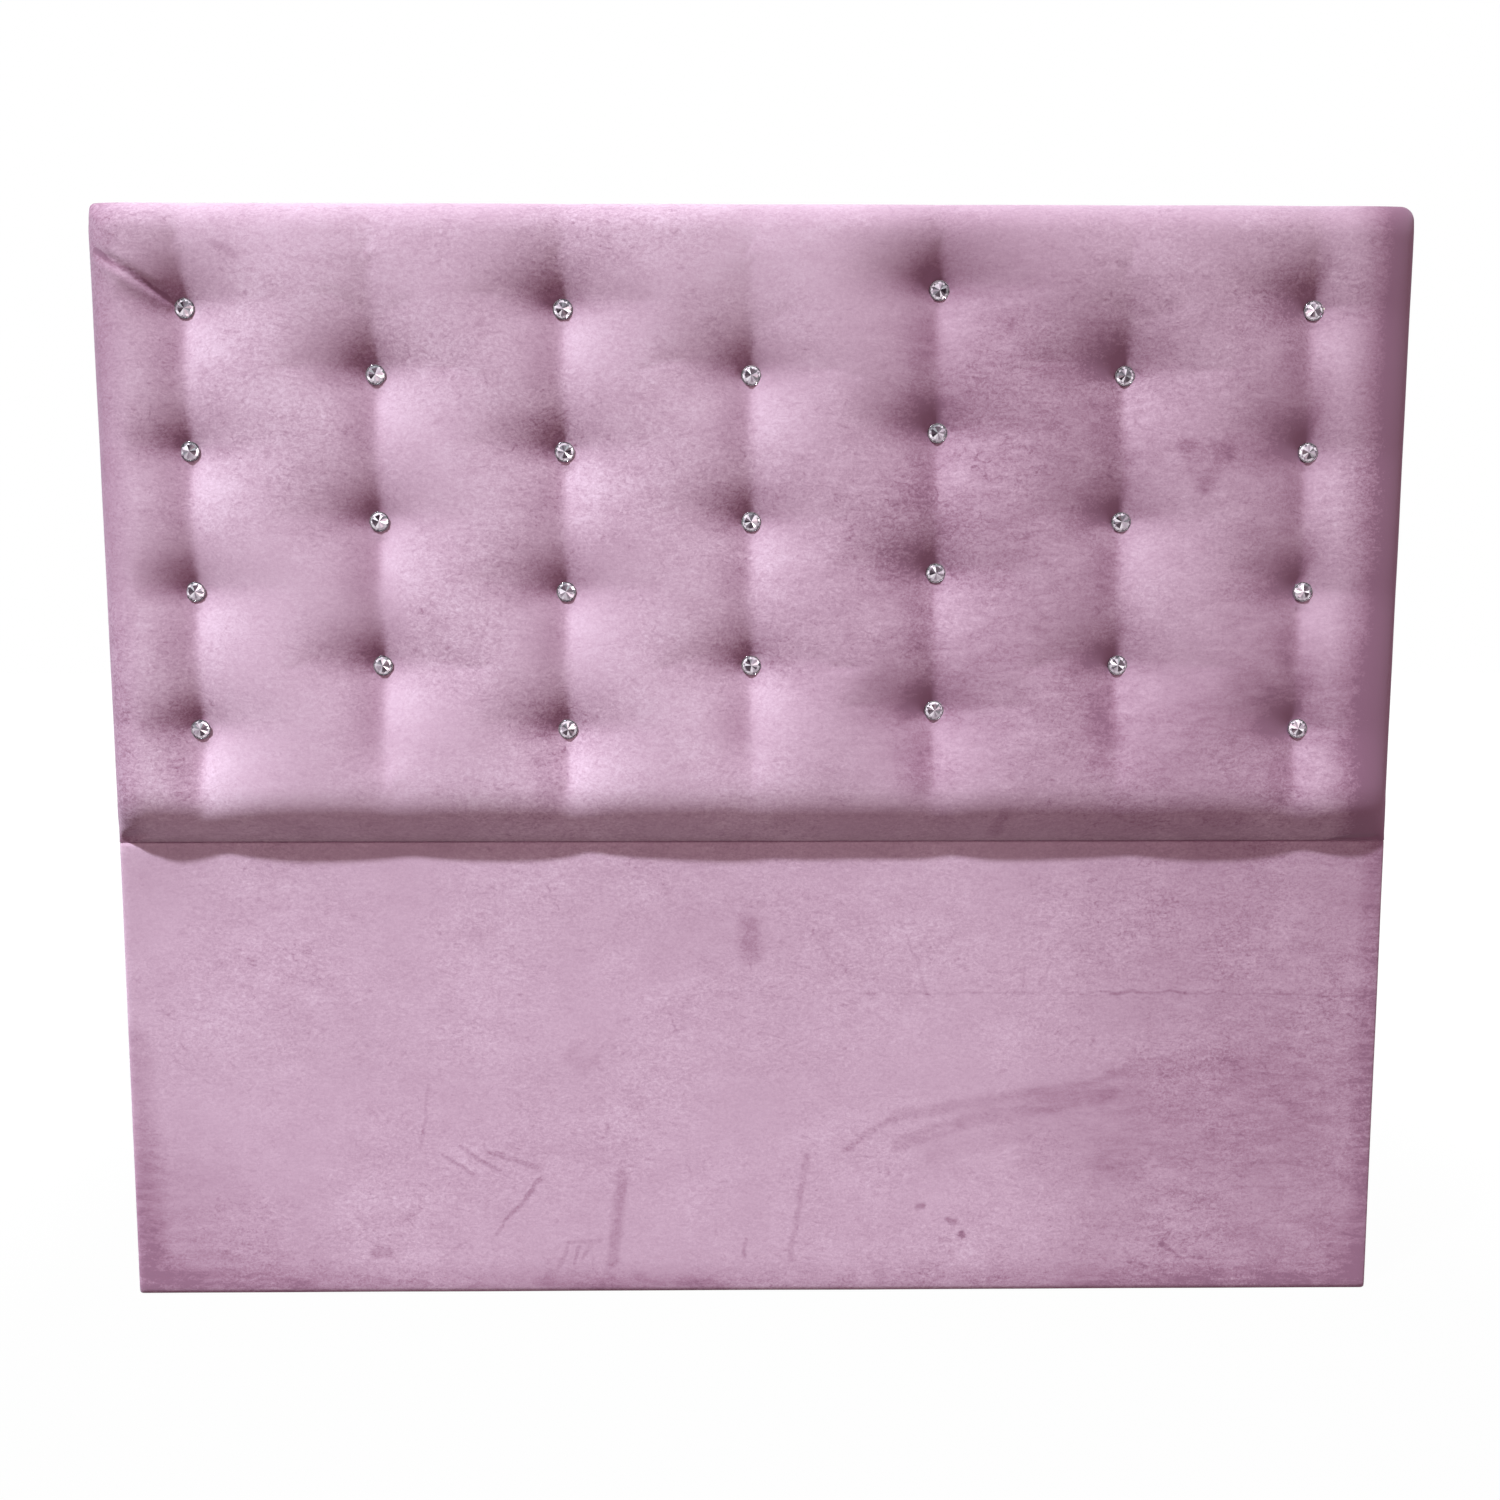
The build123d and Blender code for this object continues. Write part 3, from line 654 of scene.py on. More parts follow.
def cover_piece(name, across, away, depth, upward, front_radii, hem, finish, painted_shading):
    """The velvet of one half: its front, its sides and far edge to the flange, and its hem.

    The grid runs away from the seam, upward or downward. The hem's rows are pairs of a depth and
    a distance from the seam. The last argument holds the painted shade of the front's nap, with
    painted light below zero; the sides take a share of it, and the hem that of the front's first
    row.
    """
    rows, columns = across.shape
    side, far = headboard_side, away.max()
    sign = 1 if upward else -1
    reach = np.abs(across).max(axis=1)[:, None]
    front_x, front_away = round_corner(across, away, reach, far, front_radii)
    front = np.stack([front_x, board_front - depth, seam_height + sign * front_away], -1)
    points = [front.reshape(-1, 3)]
    faces = [grid_faces(columns, rows, flip=not upward)]

    def add_row(ring, x, y, row_away, turned_back=False):
        """Add a row of points and join it to the row before. Returns the new row."""
        row = np.stack([x, np.full_like(x, y), seam_height + sign * row_away], -1)
        new_ring = sum(map(len, points)) + np.arange(len(ring))
        points.append(row)
        sides = [ring[:-1], ring[1:], new_ring[1:], new_ring[:-1]]
        sides = sides[:1] + sides[:0:-1] if turned_back else sides
        quads = np.stack(sides, axis=1)
        faces.append(quads if upward else quads[:, ::-1])
        return new_ring

    index = np.arange(rows * columns).reshape(rows, columns)
    loop = np.concatenate([index[:, 0], index[-1, 1:], index[-2::-1, -1]])
    loop_x, loop_away = across.ravel()[loop], away.ravel()[loop]
    on_left, on_right = np.arange(len(loop)) < rows, np.arange(len(loop)) >= len(loop) - rows
    full_x = np.where(on_right, side, loop_x * side / np.abs(loop_x).max())
    full_x = np.where(on_left, -side, full_x)
    ring = loop
    for y, inset in back_profile:
        row_x = full_x * (side - inset) / side
        row_away = loop_away * (far - inset) / far
        corners = (back_corner, back_corner)
        row_x, row_away = round_corner(row_x, row_away, side - inset, far - inset, corners)
        sag = side_sag * soft_waves(row_x + 3 * y, row_away + y, length=0.11, seed=21)
        row_x = row_x - np.sign(row_x) * np.abs(sag) * (inset == 0) * (on_left | on_right)
        ring = add_row(ring, row_x, y, row_away)
    ring = index[0]
    hem_side = side - hem_inset
    hem_x = np.clip(points[0][ring, 0], -hem_side, hem_side)
    for hem_depth, hem_away in hem:
        row_away = np.full_like(hem_x, hem_away)
        ring = add_row(ring, hem_x, board_front - hem_depth, row_away, turned_back=True)

    piece = new_piece(name, np.concatenate(points), np.concatenate(faces), finish)
    # The sides take a share of the front's painted shade, fading towards the back.
    side_shares = [np.interp(y, (-0.015, 0.030), (0.8, 0.1)) for y, _ in back_profile]
    sides = [share * painted_shading.ravel()[loop] for share in side_shares]
    shares = np.concatenate([painted_shading.ravel(), *sides, *[painted_shading[0]] * len(hem)])
    piece.data.attributes.new("painted_shading", "FLOAT", "POINT").data.foreach_set("value", shares)
    thicken(piece, cloth_thickness)
    return piece


panel_marks = [
    ((-0.006, 0.428), (-0.003, 0.394), 0.0200, 0.16),
    ((-0.150, 0.137), (-0.161, 0.037), 0.0110, 0.16),
    ((-0.243, 0.133), (-0.294, 0.069), 0.0040, 0.17),
    ((-0.352, 0.163), (-0.316, 0.140), 0.0035, 0.15),
    ((-0.332, 0.171), (-0.287, 0.145), 0.0042, 0.16),
    ((-0.301, 0.169), (-0.245, 0.147), 0.0042, 0.15),
    ((-0.364, 0.244), (-0.377, 0.169), 0.0030, 0.08),
    ((0.060, 0.161), (0.040, 0.038), 0.0060, 0.13),
    ((0.102, 0.169), (0.150, 0.201), 0.0062, 0.13),
    ((0.158, 0.206), (0.360, 0.240), 0.0110, 0.12),
    ((0.372, 0.243), (0.412, 0.257), 0.0090, 0.13),
    ((0.425, 0.262), (0.545, 0.268), 0.0170, 0.08),
    ((0.164, 0.173), (0.226, 0.196), 0.0150, 0.12),
    ((0.236, 0.200), (0.400, 0.232), 0.0150, 0.12),
    ((0.200, 0.163), (0.300, 0.186), 0.0200, 0.06),
    ((0.340, 0.190), (0.580, 0.220), 0.0900, 0.06),
    ((0.084, 0.349), (0.387, 0.348), 0.0022, 0.07),
    ((0.387, 0.348), (0.482, 0.348), 0.0028, 0.16),
    ((0.482, 0.348), (0.696, 0.344), 0.0020, 0.08),
    ((0.162, 0.431), (0.196, 0.340), 0.0032, 0.07),
    ((0.073, 0.403), (0.129, 0.346), 0.0032, 0.07),
    ((0.190, 0.102), (0.186, 0.100), 0.0060, 0.26),
    ((0.220, 0.084), (0.224, 0.081), 0.0065, 0.34),
    ((0.235, 0.067), (0.237, 0.065), 0.0065, 0.38),
    ((-0.430, 0.048), (-0.416, 0.048), 0.0100, 0.14),
    ((-0.011, 0.062), (-0.011, 0.043), 0.0034, 0.15),
    ((-0.200, 0.276), (-0.190, 0.268), 0.0200, 0.08),
    ((0.400, 0.148), (0.425, 0.136), 0.0260, 0.08),
    ((0.473, 0.071), (0.465, 0.054), 0.0040, 0.15),
    ((0.465, 0.054), (0.486, 0.038), 0.0036, 0.13),
    ((0.480, 0.038), (0.511, 0.038), 0.0036, 0.13),
    ((0.655, 0.072), (0.678, 0.033), 0.0260, 0.09),
    ((-0.224, 0.030), (-0.212, 0.058), 0.0034, 0.12),
    ((-0.212, 0.058), (-0.176, 0.062), 0.0040, 0.11),
    ((-0.206, 0.034), (-0.198, 0.054), 0.0040, 0.12),
    ((-0.194, 0.040), (-0.185, 0.056), 0.0040, 0.12),
    # From here on the marks are painted shade: darker bands along the left, right and bottom
    # edges, in the lower corners and over the right-hand part, where shade falls and the key light
    # falls off.
    ((-0.697, 0.290), (-0.690, 0.020), 0.0360, 0.15),
    ((-0.690, 0.060), (-0.640, 0.000), 0.0320, 0.08),
    ((0.700, 0.500), (0.700, 0.020), 0.0360, 0.16),
    ((-0.700, -0.002), (0.700, -0.002), 0.0480, 0.19),
    ((0.640, 0.060), (0.640, 0.440), 0.4200, 0.13),
    ((0.500, 0.020), (0.660, 0.180), 0.2600, 0.09),
    ((-0.600, 0.000), (-0.700, 0.080), 0.1700, 0.17),
    ((-0.230, 0.006), (-0.040, 0.002), 0.0240, 0.12),
]
# The panel's velvet has a lower tone than the cushion's: painted shade, as the flat panel lies in
# less of the key light.
lower_velvet = velvet_finish("lower_velvet", panel_marks, tone=0.43, crushing=(0.72, 0.04))
panel_sides = [-headboard_side, headboard_side]
panel_ends = [0, seam_height]
turned_edge_round, turned_edge_height = 0.0030, 0.0045
panel_x, panel_away, full_x, full_away = fold_grid(
    graded_lines(panel_sides, panel_sides, fine=0.0016, coarse=0.0095, reach=0.012),
    graded_lines(panel_ends, panel_ends, fine=0.0013, coarse=0.0095, reach=0.012),
    seam_height,
    side_rounds=(panel_round, panel_round, panel_round),
    end_rounds=(turned_edge_round, panel_round, turned_edge_height),
)
fullness = full_x * full_away
front_depth = panel_depth - panel_round * (1 - fullness)
front_depth += fullness * 0.0005 * soft_waves(panel_x, panel_away, length=0.24, seed=5)
# Painted shade in the seam: the first two rows along the panel's turned top edge are darkened.
painted_shading = np.zeros(panel_x.shape)
painted_shading[:2] = 1.0
lower_cover = cover_piece(
    "lower_velvet",
    panel_x,
    panel_away,
    front_depth,
    upward=False,
    front_radii=(0.0035, 0.0035),
    hem=((0.0032, 0.0003), (0.0026, 0.0012), (0.0024, 0.0150)),
    finish=lower_velvet,
    painted_shading=painted_shading,
)
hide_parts("lower_velvet_cover")


# Upper cover: the same velvet over the thick cushion, pulled in at each button, wrapped round
# the sides and the top to a flange behind, with a hem under the flat panel's top edge.
row_places = sorted({rise for rises in column_rows for rise in rises})
fine_columns = [*column_places, -half_run, -0.69, -0.66, -0.63, 0.66, 0.69, half_run]
fine_rows = [*row_places, -0.008, 0.004, 0.585, 0.60, 0.615, 0.63, 0.66]
row_knots = [-0.008, *row_places, cushion_height + 0.010]
cover_x, cover_away, cover_depth = cushion_form(
    graded_lines(column_knots, fine_columns, fine=0.0026, coarse=0.0085, reach=0.018),
    graded_lines(row_knots, fine_rows, fine=0.0030, coarse=0.0068, reach=0.016),
)


held_radius = 0.0115
least_swell, most_swell = -0.0012, 0.006
bunching = 0.0028


def inflate(x, away, depth):
    """Let the foam fill the velvet out between its fixed edges and buttons, by cloth simulation.

    Returns how much further the cloth stands out. Every second line is enough for that.
    """
    x, away, depth = x[::2, ::2], away[::2, ::2], depth[::2, ::2]
    rows, columns = x.shape
    start = np.stack([x, board_front - depth, seam_height + away], -1).reshape(-1, 3)
    mesh = bpy.data.meshes.new("cushion_cloth")
    mesh.from_pydata(start.tolist(), [], grid_faces(columns, rows).tolist())
    sheet = new_object("cushion_cloth", mesh)
    fixed = np.zeros((rows, columns), bool)
    fixed[[0, 1, -2, -1], :] = True
    fixed[:, [0, 1, -2, -1]] = True
    for button_x, button_rise in button_spots:
        fixed |= np.hypot(x - button_x, away - button_rise) < held_radius
    held = sheet.vertex_groups.new(name="held")
    held.add(np.flatnonzero(fixed.ravel()).tolist(), 1.0, "REPLACE")
    cloth = sheet.modifiers.new("cloth", "CLOTH")
    set_all(
        cloth.settings,
        vertex_group_mass="held",
        quality=5,
        mass=0.4,
        tension_stiffness=30,
        compression_stiffness=30,
        shear_stiffness=4,
        bending_stiffness=1.5,
        air_damping=4,
        use_pressure=True,
        uniform_pressure_force=4,
    )
    cloth.settings.effector_weights.gravity = 0
    scene = bpy.context.scene
    last_frame = 20
    cloth.point_cache.frame_start, cloth.point_cache.frame_end = 1, last_frame
    for number in range(1, last_frame + 1):
        scene.frame_set(number)
    found = sheet.evaluated_get(bpy.context.evaluated_depsgraph_get()).to_mesh()
    end = np.empty(len(found.vertices) * 3)
    found.vertices.foreach_get("co", end)
    scene.frame_set(1)
    bpy.data.objects.remove(sheet)
    bpy.data.meshes.remove(mesh)
    return (start[:, 1] - end.reshape(-1, 3)[:, 1]).reshape(rows, columns)


def refine(values, rows, columns):
    """Values on every second line, carried over to all lines."""
    known_rows, known_columns = map(np.arange, values.shape)
    wide = np.array([np.interp(np.arange(columns) / 2, known_columns, row) for row in values])
    return np.array([np.interp(np.arange(rows) / 2, known_rows, line) for line in wide.T]).T


swell = np.clip(inflate(cover_x, cover_away, cover_depth), least_swell, most_swell)
cover_depth = cover_depth + refine(swell, *cover_depth.shape)
cover_depth = press_creases(cover_x, cover_away, cover_depth)
cover_depth = seat_buttons(cover_x, cover_away, cover_depth, lift=bunching)

cushion_marks = [
    ((0.455, 0.946), (0.496, 0.943), 0.0165, 0.13),
    ((0.496, 0.943), (0.476, 0.903), 0.0150, 0.12),
    ((0.455, 0.946), (0.476, 0.903), 0.0150, 0.09),
    ((-0.559, 1.153), (-0.536, 1.139), 0.0085, 0.11),
    ((0.271, 0.553), (0.264, 0.534), 0.0110, 0.12),
    # From here on the marks are painted shade: wide darker patches from the middle to the right,
    # where the key light falls off, and a dark line in the crease at the top left.
    ((0.460, 0.620), (0.460, 0.980), 0.3600, 0.07),
    ((0.200, 0.720), (0.260, 1.000), 0.2600, 0.18),
    ((-0.684, 1.146), (-0.616, 1.101), 0.0045, 0.30),
    ((0.440, 0.620), (0.620, 0.640), 0.1600, 0.15),
    ((0.540, 0.750), (0.545, 1.050), 0.0850, 0.09),
]
upper_velvet = velvet_finish("upper_velvet", cushion_marks, tone=0.51, crushing=(0.84, -0.08))

# Painted shading of the nap: painted shade, most above and left of each button, below it left of
# the crease, round the sides, on the underside, along the seam and in the gap at its right end.
# Below zero it is painted light, as at the lower right of each button, where the key light falls.
# Painted shade down both side edges and on the underside.
right_edge_shade = 1.50 * np.clip((cover_x - 0.614) / 0.064, 0, 1) ** 1.3
left_edge_shade = 0.95 * np.clip((-cover_x - 0.650) / 0.040, 0, 1)
underside_shade = 0.20 * np.clip((0.052 - cover_away) / 0.012, 0, 1)
painted_shading = np.maximum(np.maximum(right_edge_shade, left_edge_shade), underside_shade)
painted_light_lobes = np.zeros(cover_x.shape)
lobe_spreads = [1, 1, 1, 1, 1, 1, 1.22]
lobe_left_share = 1.14
lobe_right_shares = [0.74, 0.74, 0.74, 0.74, 0.74, 0.4505, 0.44]
# Each button gets painted shade above, to its left and left of its crease, and painted light below
# and to its right.
for button_x, button_rise in button_spots:
    column = column_places.index(button_x)
    lean, right_share = tuft_leans[column], lobe_right_shares[column]
    up = cover_away - button_rise
    across = cover_x - button_x + lean * np.clip(up, 0, None)
    left_of_crease = 0.5 - 0.5 * np.tanh(across / (0.0018 + 0.07 * np.abs(up)))
    away = np.hypot((across + 0.006) / 0.048, (up - 0.006) / np.where(up > 0.006, 0.040, 0.019))
    lobe = right_share + (lobe_left_share - right_share) * left_of_crease
    lobe = lobe * np.exp(-((away / lobe_spreads[column]) ** 1.5))
    below = np.hypot((across + 0.014) / 0.027, (up + 0.054) / 0.060)
    lobe = np.maximum(lobe, 0.50 * np.exp(-(below**2)) * left_of_crease)
    painted_shading = np.maximum(painted_shading, lobe)
    lit = np.hypot((across - 0.020) / 0.030, (up + 0.034) / 0.042)
    painted_light_lobes = np.maximum(painted_light_lobes, np.exp(-(lit**2)) * (1 - left_of_crease))
painted_shading = painted_shading - np.where(cover_x > 0.56, 0.20, 0.22) * painted_light_lobes
# Painted shade along the seam, in its first two rows.
painted_shading[0] = 1.3
painted_shading[1] = np.maximum(painted_shading[1], 0.6)
# Painted shade in the gap at the right end of the seam.
seam_gap_shade = np.clip(1.6 - 1.6 * np.abs(cover_x - 0.662) / 0.034, 0, 1)
painted_shading += 1.5 * seam_gap_shade * np.clip(1.6 - cover_away / (0.0036 * np.maximum(seam_gap_shade, 0.1)), 0, 1)
upper_cover = cover_piece(
    "upper_velvet",
    draw_in(cover_x, cover_away),
    cover_away,
    cover_depth,
    upward=True,
    front_radii=(0.006, 0.015),
    hem=((0.0040, 0.0004), (0.0018, -0.0005), (0.0015, -0.0150)),
    finish=upper_velvet,
    painted_shading=painted_shading,
)
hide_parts("upper_velvet_cover")


# Crystal buttons: a faceted glass stone in a thin silvery cup. A wire loop on the cup's back is
# tied with twine through foam and board to a fibre washer behind. Twenty-five are alike.
def place_copies(tree, places, shape):
    """Copies of a shape at all places, each with the turn that its place holds."""
    turn = {"Name": "turn"}
    turn = add_node(tree, "GeometryNodeInputNamedAttribute", turn, data_type="FLOAT_VECTOR")
    sockets = {"Points": places, "Instance": shape, "Rotation": turn}
    return add_node(tree, "GeometryNodeInstanceOnPoints", sockets)


def end_tree(tree, copies, finish):
    """Make the copies one solid with its finish, as what the tree gives."""
    solid = add_node(tree, "GeometryNodeRealizeInstances", {"Geometry": copies})
    sockets = {"Geometry": solid, "Material": finish}
    new_node(tree, "NodeGroupOutput", {0: add_node(tree, "GeometryNodeSetMaterial", sockets)})


def grow_piece(name, places, turns, tree, sizes):
    """The plain piece that a Geometry Nodes tree makes at these places, with these sizes."""
    points = bpy.data.meshes.new(name)
    points.from_pydata(places, [], [])
    turn_values = points.attributes.new("turn", "FLOAT_VECTOR", "POINT")
    turn_values.data.foreach_set("vector", np.asarray(turns, float).ravel())
    piece = new_object(name, points)
    grower = piece.modifiers.new(name, "NODES")
    grower.node_group = tree
    for item in tree.interface.items_tree:
        if item.in_out == "INPUT" and item.name in sizes:
            grower[item.identifier] = sizes[item.name]
    graph = bpy.context.evaluated_depsgraph_get()
    grown = bpy.data.meshes.new_from_object(piece.evaluated_get(graph))
    piece.modifiers.remove(grower)
    piece.data = grown
    bpy.data.meshes.remove(points)
    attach(piece, "root")
    return piece


def set_out(name, pattern, finish):
    """Copies of one small piece at all the buttons, each spun and tilted a little differently."""
    inputs = dict(Places="Geometry", Piece="Object", Tilt="Float", Seed="Int")
    tree, given = new_group(name, "GeometryNodeTree", inputs, "Copies", "Geometry")
    shape = add_node(tree, "GeometryNodeObjectInfo", {"Object": given["Piece"]}, "Geometry")
    spin = {"Min": -math.pi, "Max": math.pi, "Seed": given["Seed"]}
    spin = add_node(tree, "FunctionNodeRandomValue", spin, data_type="FLOAT")
    least = combine(tree, "MULTIPLY", given["Tilt"], -1.0)
    lean = {"Min": least, "Max": given["Tilt"], "Seed": given["Seed"]}
    lean = add_node(tree, "FunctionNodeRandomValue", lean, data_type="FLOAT")
    turn = add_node(tree, "ShaderNodeCombineXYZ", {"X": lean, "Y": lean, "Z": spin})
    copies = place_copies(tree, given["Places"], shape)
    sockets = {"Instances": copies, "Rotation": turn}
    end_tree(tree, add_node(tree, "GeometryNodeRotateInstances", sockets), finish)
    sizes = {"Piece": pattern, "Tilt": button_tilt, "Seed": button_seed}
    copied = grow_piece(name, button_places, facing_front, tree, sizes)
    bpy.data.objects.remove(pattern)
    return copied


def pattern_piece(name, points, faces):
    """One small piece at the origin, as the pattern for its copies."""
    mesh = bpy.data.meshes.new(name)
    mesh.from_pydata(points, [], faces)
    return new_object(name, mesh)


def ring_points(radius, low, high, segments, shift=0.0):
    """A ring of points round the Z axis, low and high by turns."""
    angles = [math.tau * (step + shift) / segments for step in range(segments)]
    heights = [high if step % 2 else low for step in range(segments)]
    return [
        (radius * math.cos(angle), radius * math.sin(angle), height)
        for angle, height in zip(angles, heights)
    ]


def turned_piece(name, profile, segments):
    """A smooth piece turned round the Z axis from radii and heights that start and end at it."""
    points, faces = [(0, 0, profile[0][1])], []
    rings = profile[1:-1]
    for radius, height in rings:
        points += ring_points(radius, height, height, segments)
    points.append((0, 0, profile[-1][1]))
    last = len(points) - 1
    for step in range(segments):
        after = (step + 1) % segments
        faces.append((0, 1 + after, 1 + step))
        for ring in range(len(rings) - 1):
            low, high = 1 + ring * segments, 1 + (ring + 1) * segments
            faces.append((low + step, low + after, high + after, high + step))
        top = 1 + (len(rings) - 1) * segments
        faces.append((top + step, top + after, last))
    pattern = pattern_piece(name, points, faces)
    pattern.data.shade_smooth()
    return pattern


button_places = [(x, board_front - button_depth, seam_height + rise) for x, rise in button_spots]
facing_front = [(math.pi / 2, 0, 0)] * len(button_places)
button_tilt, button_seed = 0.03, 4

cup_back = [(0, 0), (0.0076, 0), (0.0084, 0.0004), (0.0103, 0.0030)]
cup_rim = [(0.0106, 0.0035), (0.0105, 0.0039), (0.0101, 0.0041), (0.0097, 0.0038)]
cup_bowl = [(0.0096, 0.0030), (0.0060, 0.0018), (0.0041, 0.0009), (0, 0.0008)]
# The cup's metal is coloured dark and mottled: painted shade for its rim, which lies in shade.
cup_metal, tree, shader = new_finish("cup_metal", 0.16, {"Metallic": 1.0})
painted_cup_shade = noise(tree, surface_place(tree), scale=420, detail=3)
paint(tree, shader, painted_cup_shade, (0.3, (0.10, 0.08, 0.10)), (0.7, (0.30, 0.26, 0.29)))
relief(tree, shader, painted_cup_shade, strength=0.1, distance=0.0002)
cup = turned_piece("cup_pattern", cup_back + cup_rim + cup_bowl, 32)
cups = set_out("silver_cups", cup, cup_metal)
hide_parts("crystal_cups")


def stone_pattern():
    """A pointed round stone: a star of long facets over a ring of short ones, and a back cone."""
    facets = 14
    points = [(0, 0, 0.0010)]
    points += ring_points(0.0040, 0.0010, 0.0010, facets)
    points += ring_points(0.0094, 0.0030, 0.0030, facets)
    points += ring_points(0.0094, 0.0037, 0.0037, facets)
    points += ring_points(0.0070, 0.0043, 0.0048, facets, shift=0.5)
    points.append((0, 0, 0.0061))
    last = len(points) - 1
    faces = []
    for step in range(facets):
        after = (step + 1) % facets
        faces.append((0, 1 + after, 1 + step))
        for ring in range(2):
            low, high = 1 + ring * facets, 1 + (ring + 1) * facets
            faces.append((low + step, low + after, high + after, high + step))
        girdle, star = 1 + 2 * facets, 1 + 3 * facets
        faces.append((girdle + step, girdle + after, star + step))
        faces.append((girdle + after, star + after, star + step))
        faces.append((star + step, star + after, last))
    pattern = pattern_piece("stone_pattern", points, faces)
    # The facets' colours are painted reflections: bright and dark by turns on some, a list of
    # glints on others, the rest at random.
    shades = pattern.data.attributes.new("painted_facet_light", "FLOAT", "FACE")
    made = np.random.default_rng(2)
    values = made.uniform(0.35, 0.75, len(faces))
    by_turns = np.where(np.arange(facets) % 2, 0.8, 0.25)
    values[-3 * facets :: 3] = by_turns + made.uniform(-0.1, 0.1, facets)
    painted_glints = [1, 0.85, 0.1, 0.2, 0.05, 0.6, 0.2, 0.95, 0.9, 0.3, 0.05, 0.45, 0.1, 0.55]
    values[-1 : -3 * facets : -3] = painted_glints
    shades.data.foreach_set("value", np.clip(values, 0, 1))
    return pattern


# The crystal's colour is painted reflection: each facet's painted light, with a little noise as
# painted glints, runs from dark to bright.
glass = {"Metallic": 0.55, "Transmission Weight": 0.35, "IOR": 1.6}
crystal, tree, shader = new_finish("crystal", 0.02, glass)
painted_facet_light = add_node(tree, "ShaderNodeAttribute", output="Fac", attribute_name="painted_facet_light")
painted_glint = combine(tree, "SUBTRACT", noise(tree, surface_place(tree), scale=240), 0.5)
facet_tone = combine(tree, "MULTIPLY_ADD", painted_glint, 0.25, painted_facet_light)
dark, middle, bright = (0.07, 0.04, 0.06), (0.39, 0.30, 0.37), (0.95, 0.85, 0.93)
paint(tree, shader, facet_tone, (0.1, dark), (0.5, middle), (0.9, bright))
stones = set_out("crystal_stones_cut", stone_pattern(), crystal)
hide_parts("crystal_stones")

loop_wire = steel_finish("loop_wire", (0.50, 0.50, 0.52), (0.68, 0.68, 0.70), 0.3)
dress(loop_wire, "cup_loops")

twine, tree, shader = new_finish("waxed_twine", roughness=0.75)
twists = bands(tree, surface_place(tree), "DIAGONAL", scale=260.0, distortion=1.5)
paint(tree, shader, twists, (0.2, (0.58, 0.53, 0.43)), (0.8, (0.82, 0.78, 0.68)))
relief(tree, shader, twists, strength=0.6, distance=0.0004)
dress(twine, "tuft_twines")

fibre, tree, shader = new_finish("washer_fibre", roughness=0.7)
specks = noise(tree, surface_place(tree), scale=650, detail=3)
paint(tree, shader, specks, (0.35, (0.18, 0.11, 0.08)), (0.7, (0.32, 0.22, 0.15)))
relief(tree, shader, specks, strength=0.3, distance=0.0003)
dress(fibre, "twine_washers")


# Back lining: thin black non-woven cloth that closes the back. It is stapled over the flange,
# dips a little at each staple and lies slack over the open bays of the frame.
lining_back = 0.06015
lining_inset = 0.012
lining_thickness = 0.0004
staple_inset = 0.019
staple_spacing = 0.11
batten_edge = 0.024
half_stud = 0.0225
stud_place = 0.3


def staple_row(start, end):
    """Evenly spaced places from start to end, about one spacing apart."""
    gaps = max(1, round(abs(end - start) / staple_spacing))
    return [start + (end - start) * step / gaps for step in range(gaps + 1)]


lining_low, lining_high = staple_inset, headboard_height - staple_inset
lining_side = headboard_side - staple_inset
row_across, row_up = staple_row(-lining_side, lining_side), staple_row(lining_low, lining_high)
level_staples = [(x, z) for z in (lining_low, lining_high) for x in row_across]
upright_staples = [(x, z) for x in (-lining_side, lining_side) for z in row_up[1:-1]]

lining_cloth, tree, shader = new_finish("black_lining", 0.9, {"Sheen Weight": 0.15})
threads = noise(tree, surface_place(tree), scale=420, detail=4, roughness=0.7, distortion=1.2)
dots = add_node(tree, "ShaderNodeTexVoronoi", {"Vector": surface_place(tree), "Scale": 420.0})
paint(tree, shader, threads, (0.3, (0.018, 0.018, 0.020)), (0.75, (0.060, 0.060, 0.066)))
relief(tree, shader, dots, strength=0.4, distance=0.0005)

lining_columns, lining_rows = 170, 146
lining_x, lining_z = np.meshgrid(
    np.linspace(lining_inset - headboard_side, headboard_side - lining_inset, lining_columns),
    np.linspace(lining_inset, headboard_height - lining_inset, lining_rows),
)
inset_x = headboard_side - np.abs(lining_x)
inset_z = np.minimum(lining_z, headboard_height - lining_z)
inset = np.minimum(inset_x, inset_z)
past_flange = np.clip((inset - flange_reach) / 0.006, 0, 1)
bay_x = np.minimum(np.abs(np.abs(lining_x) - stud_place), inset_x - batten_edge)
bay_z = np.minimum(np.abs(lining_z - seam_height), inset_z - batten_edge)
open_bay = np.clip((np.minimum(bay_x, bay_z) - half_stud) / 0.10, 0, 1)
lining_y = lining_back - 0.0012 * past_flange - 0.0022 * open_bay**0.7
lining_y += (0.0002 + 0.0009 * open_bay) * soft_waves(lining_x, lining_z, length=0.16, seed=11)
for x, z in level_staples + upright_staples:
    away = np.hypot(lining_x - x, lining_z - z)
    lining_y -= 0.0004 * np.exp(-((away / 0.007) ** 2))
on_flange = np.clip(lining_y, flange_back + 0.0004, lining_back + 0.0003)
lining_y = np.where(inset < flange_reach, on_flange, lining_y)
lining = new_piece(
    "back_lining_cloth",
    np.stack([lining_x, lining_y, lining_z], -1).reshape(-1, 3),
    grid_faces(lining_columns, lining_rows, flip=True),
    lining_cloth,
)
thicken(lining, lining_thickness)
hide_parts("back_lining")


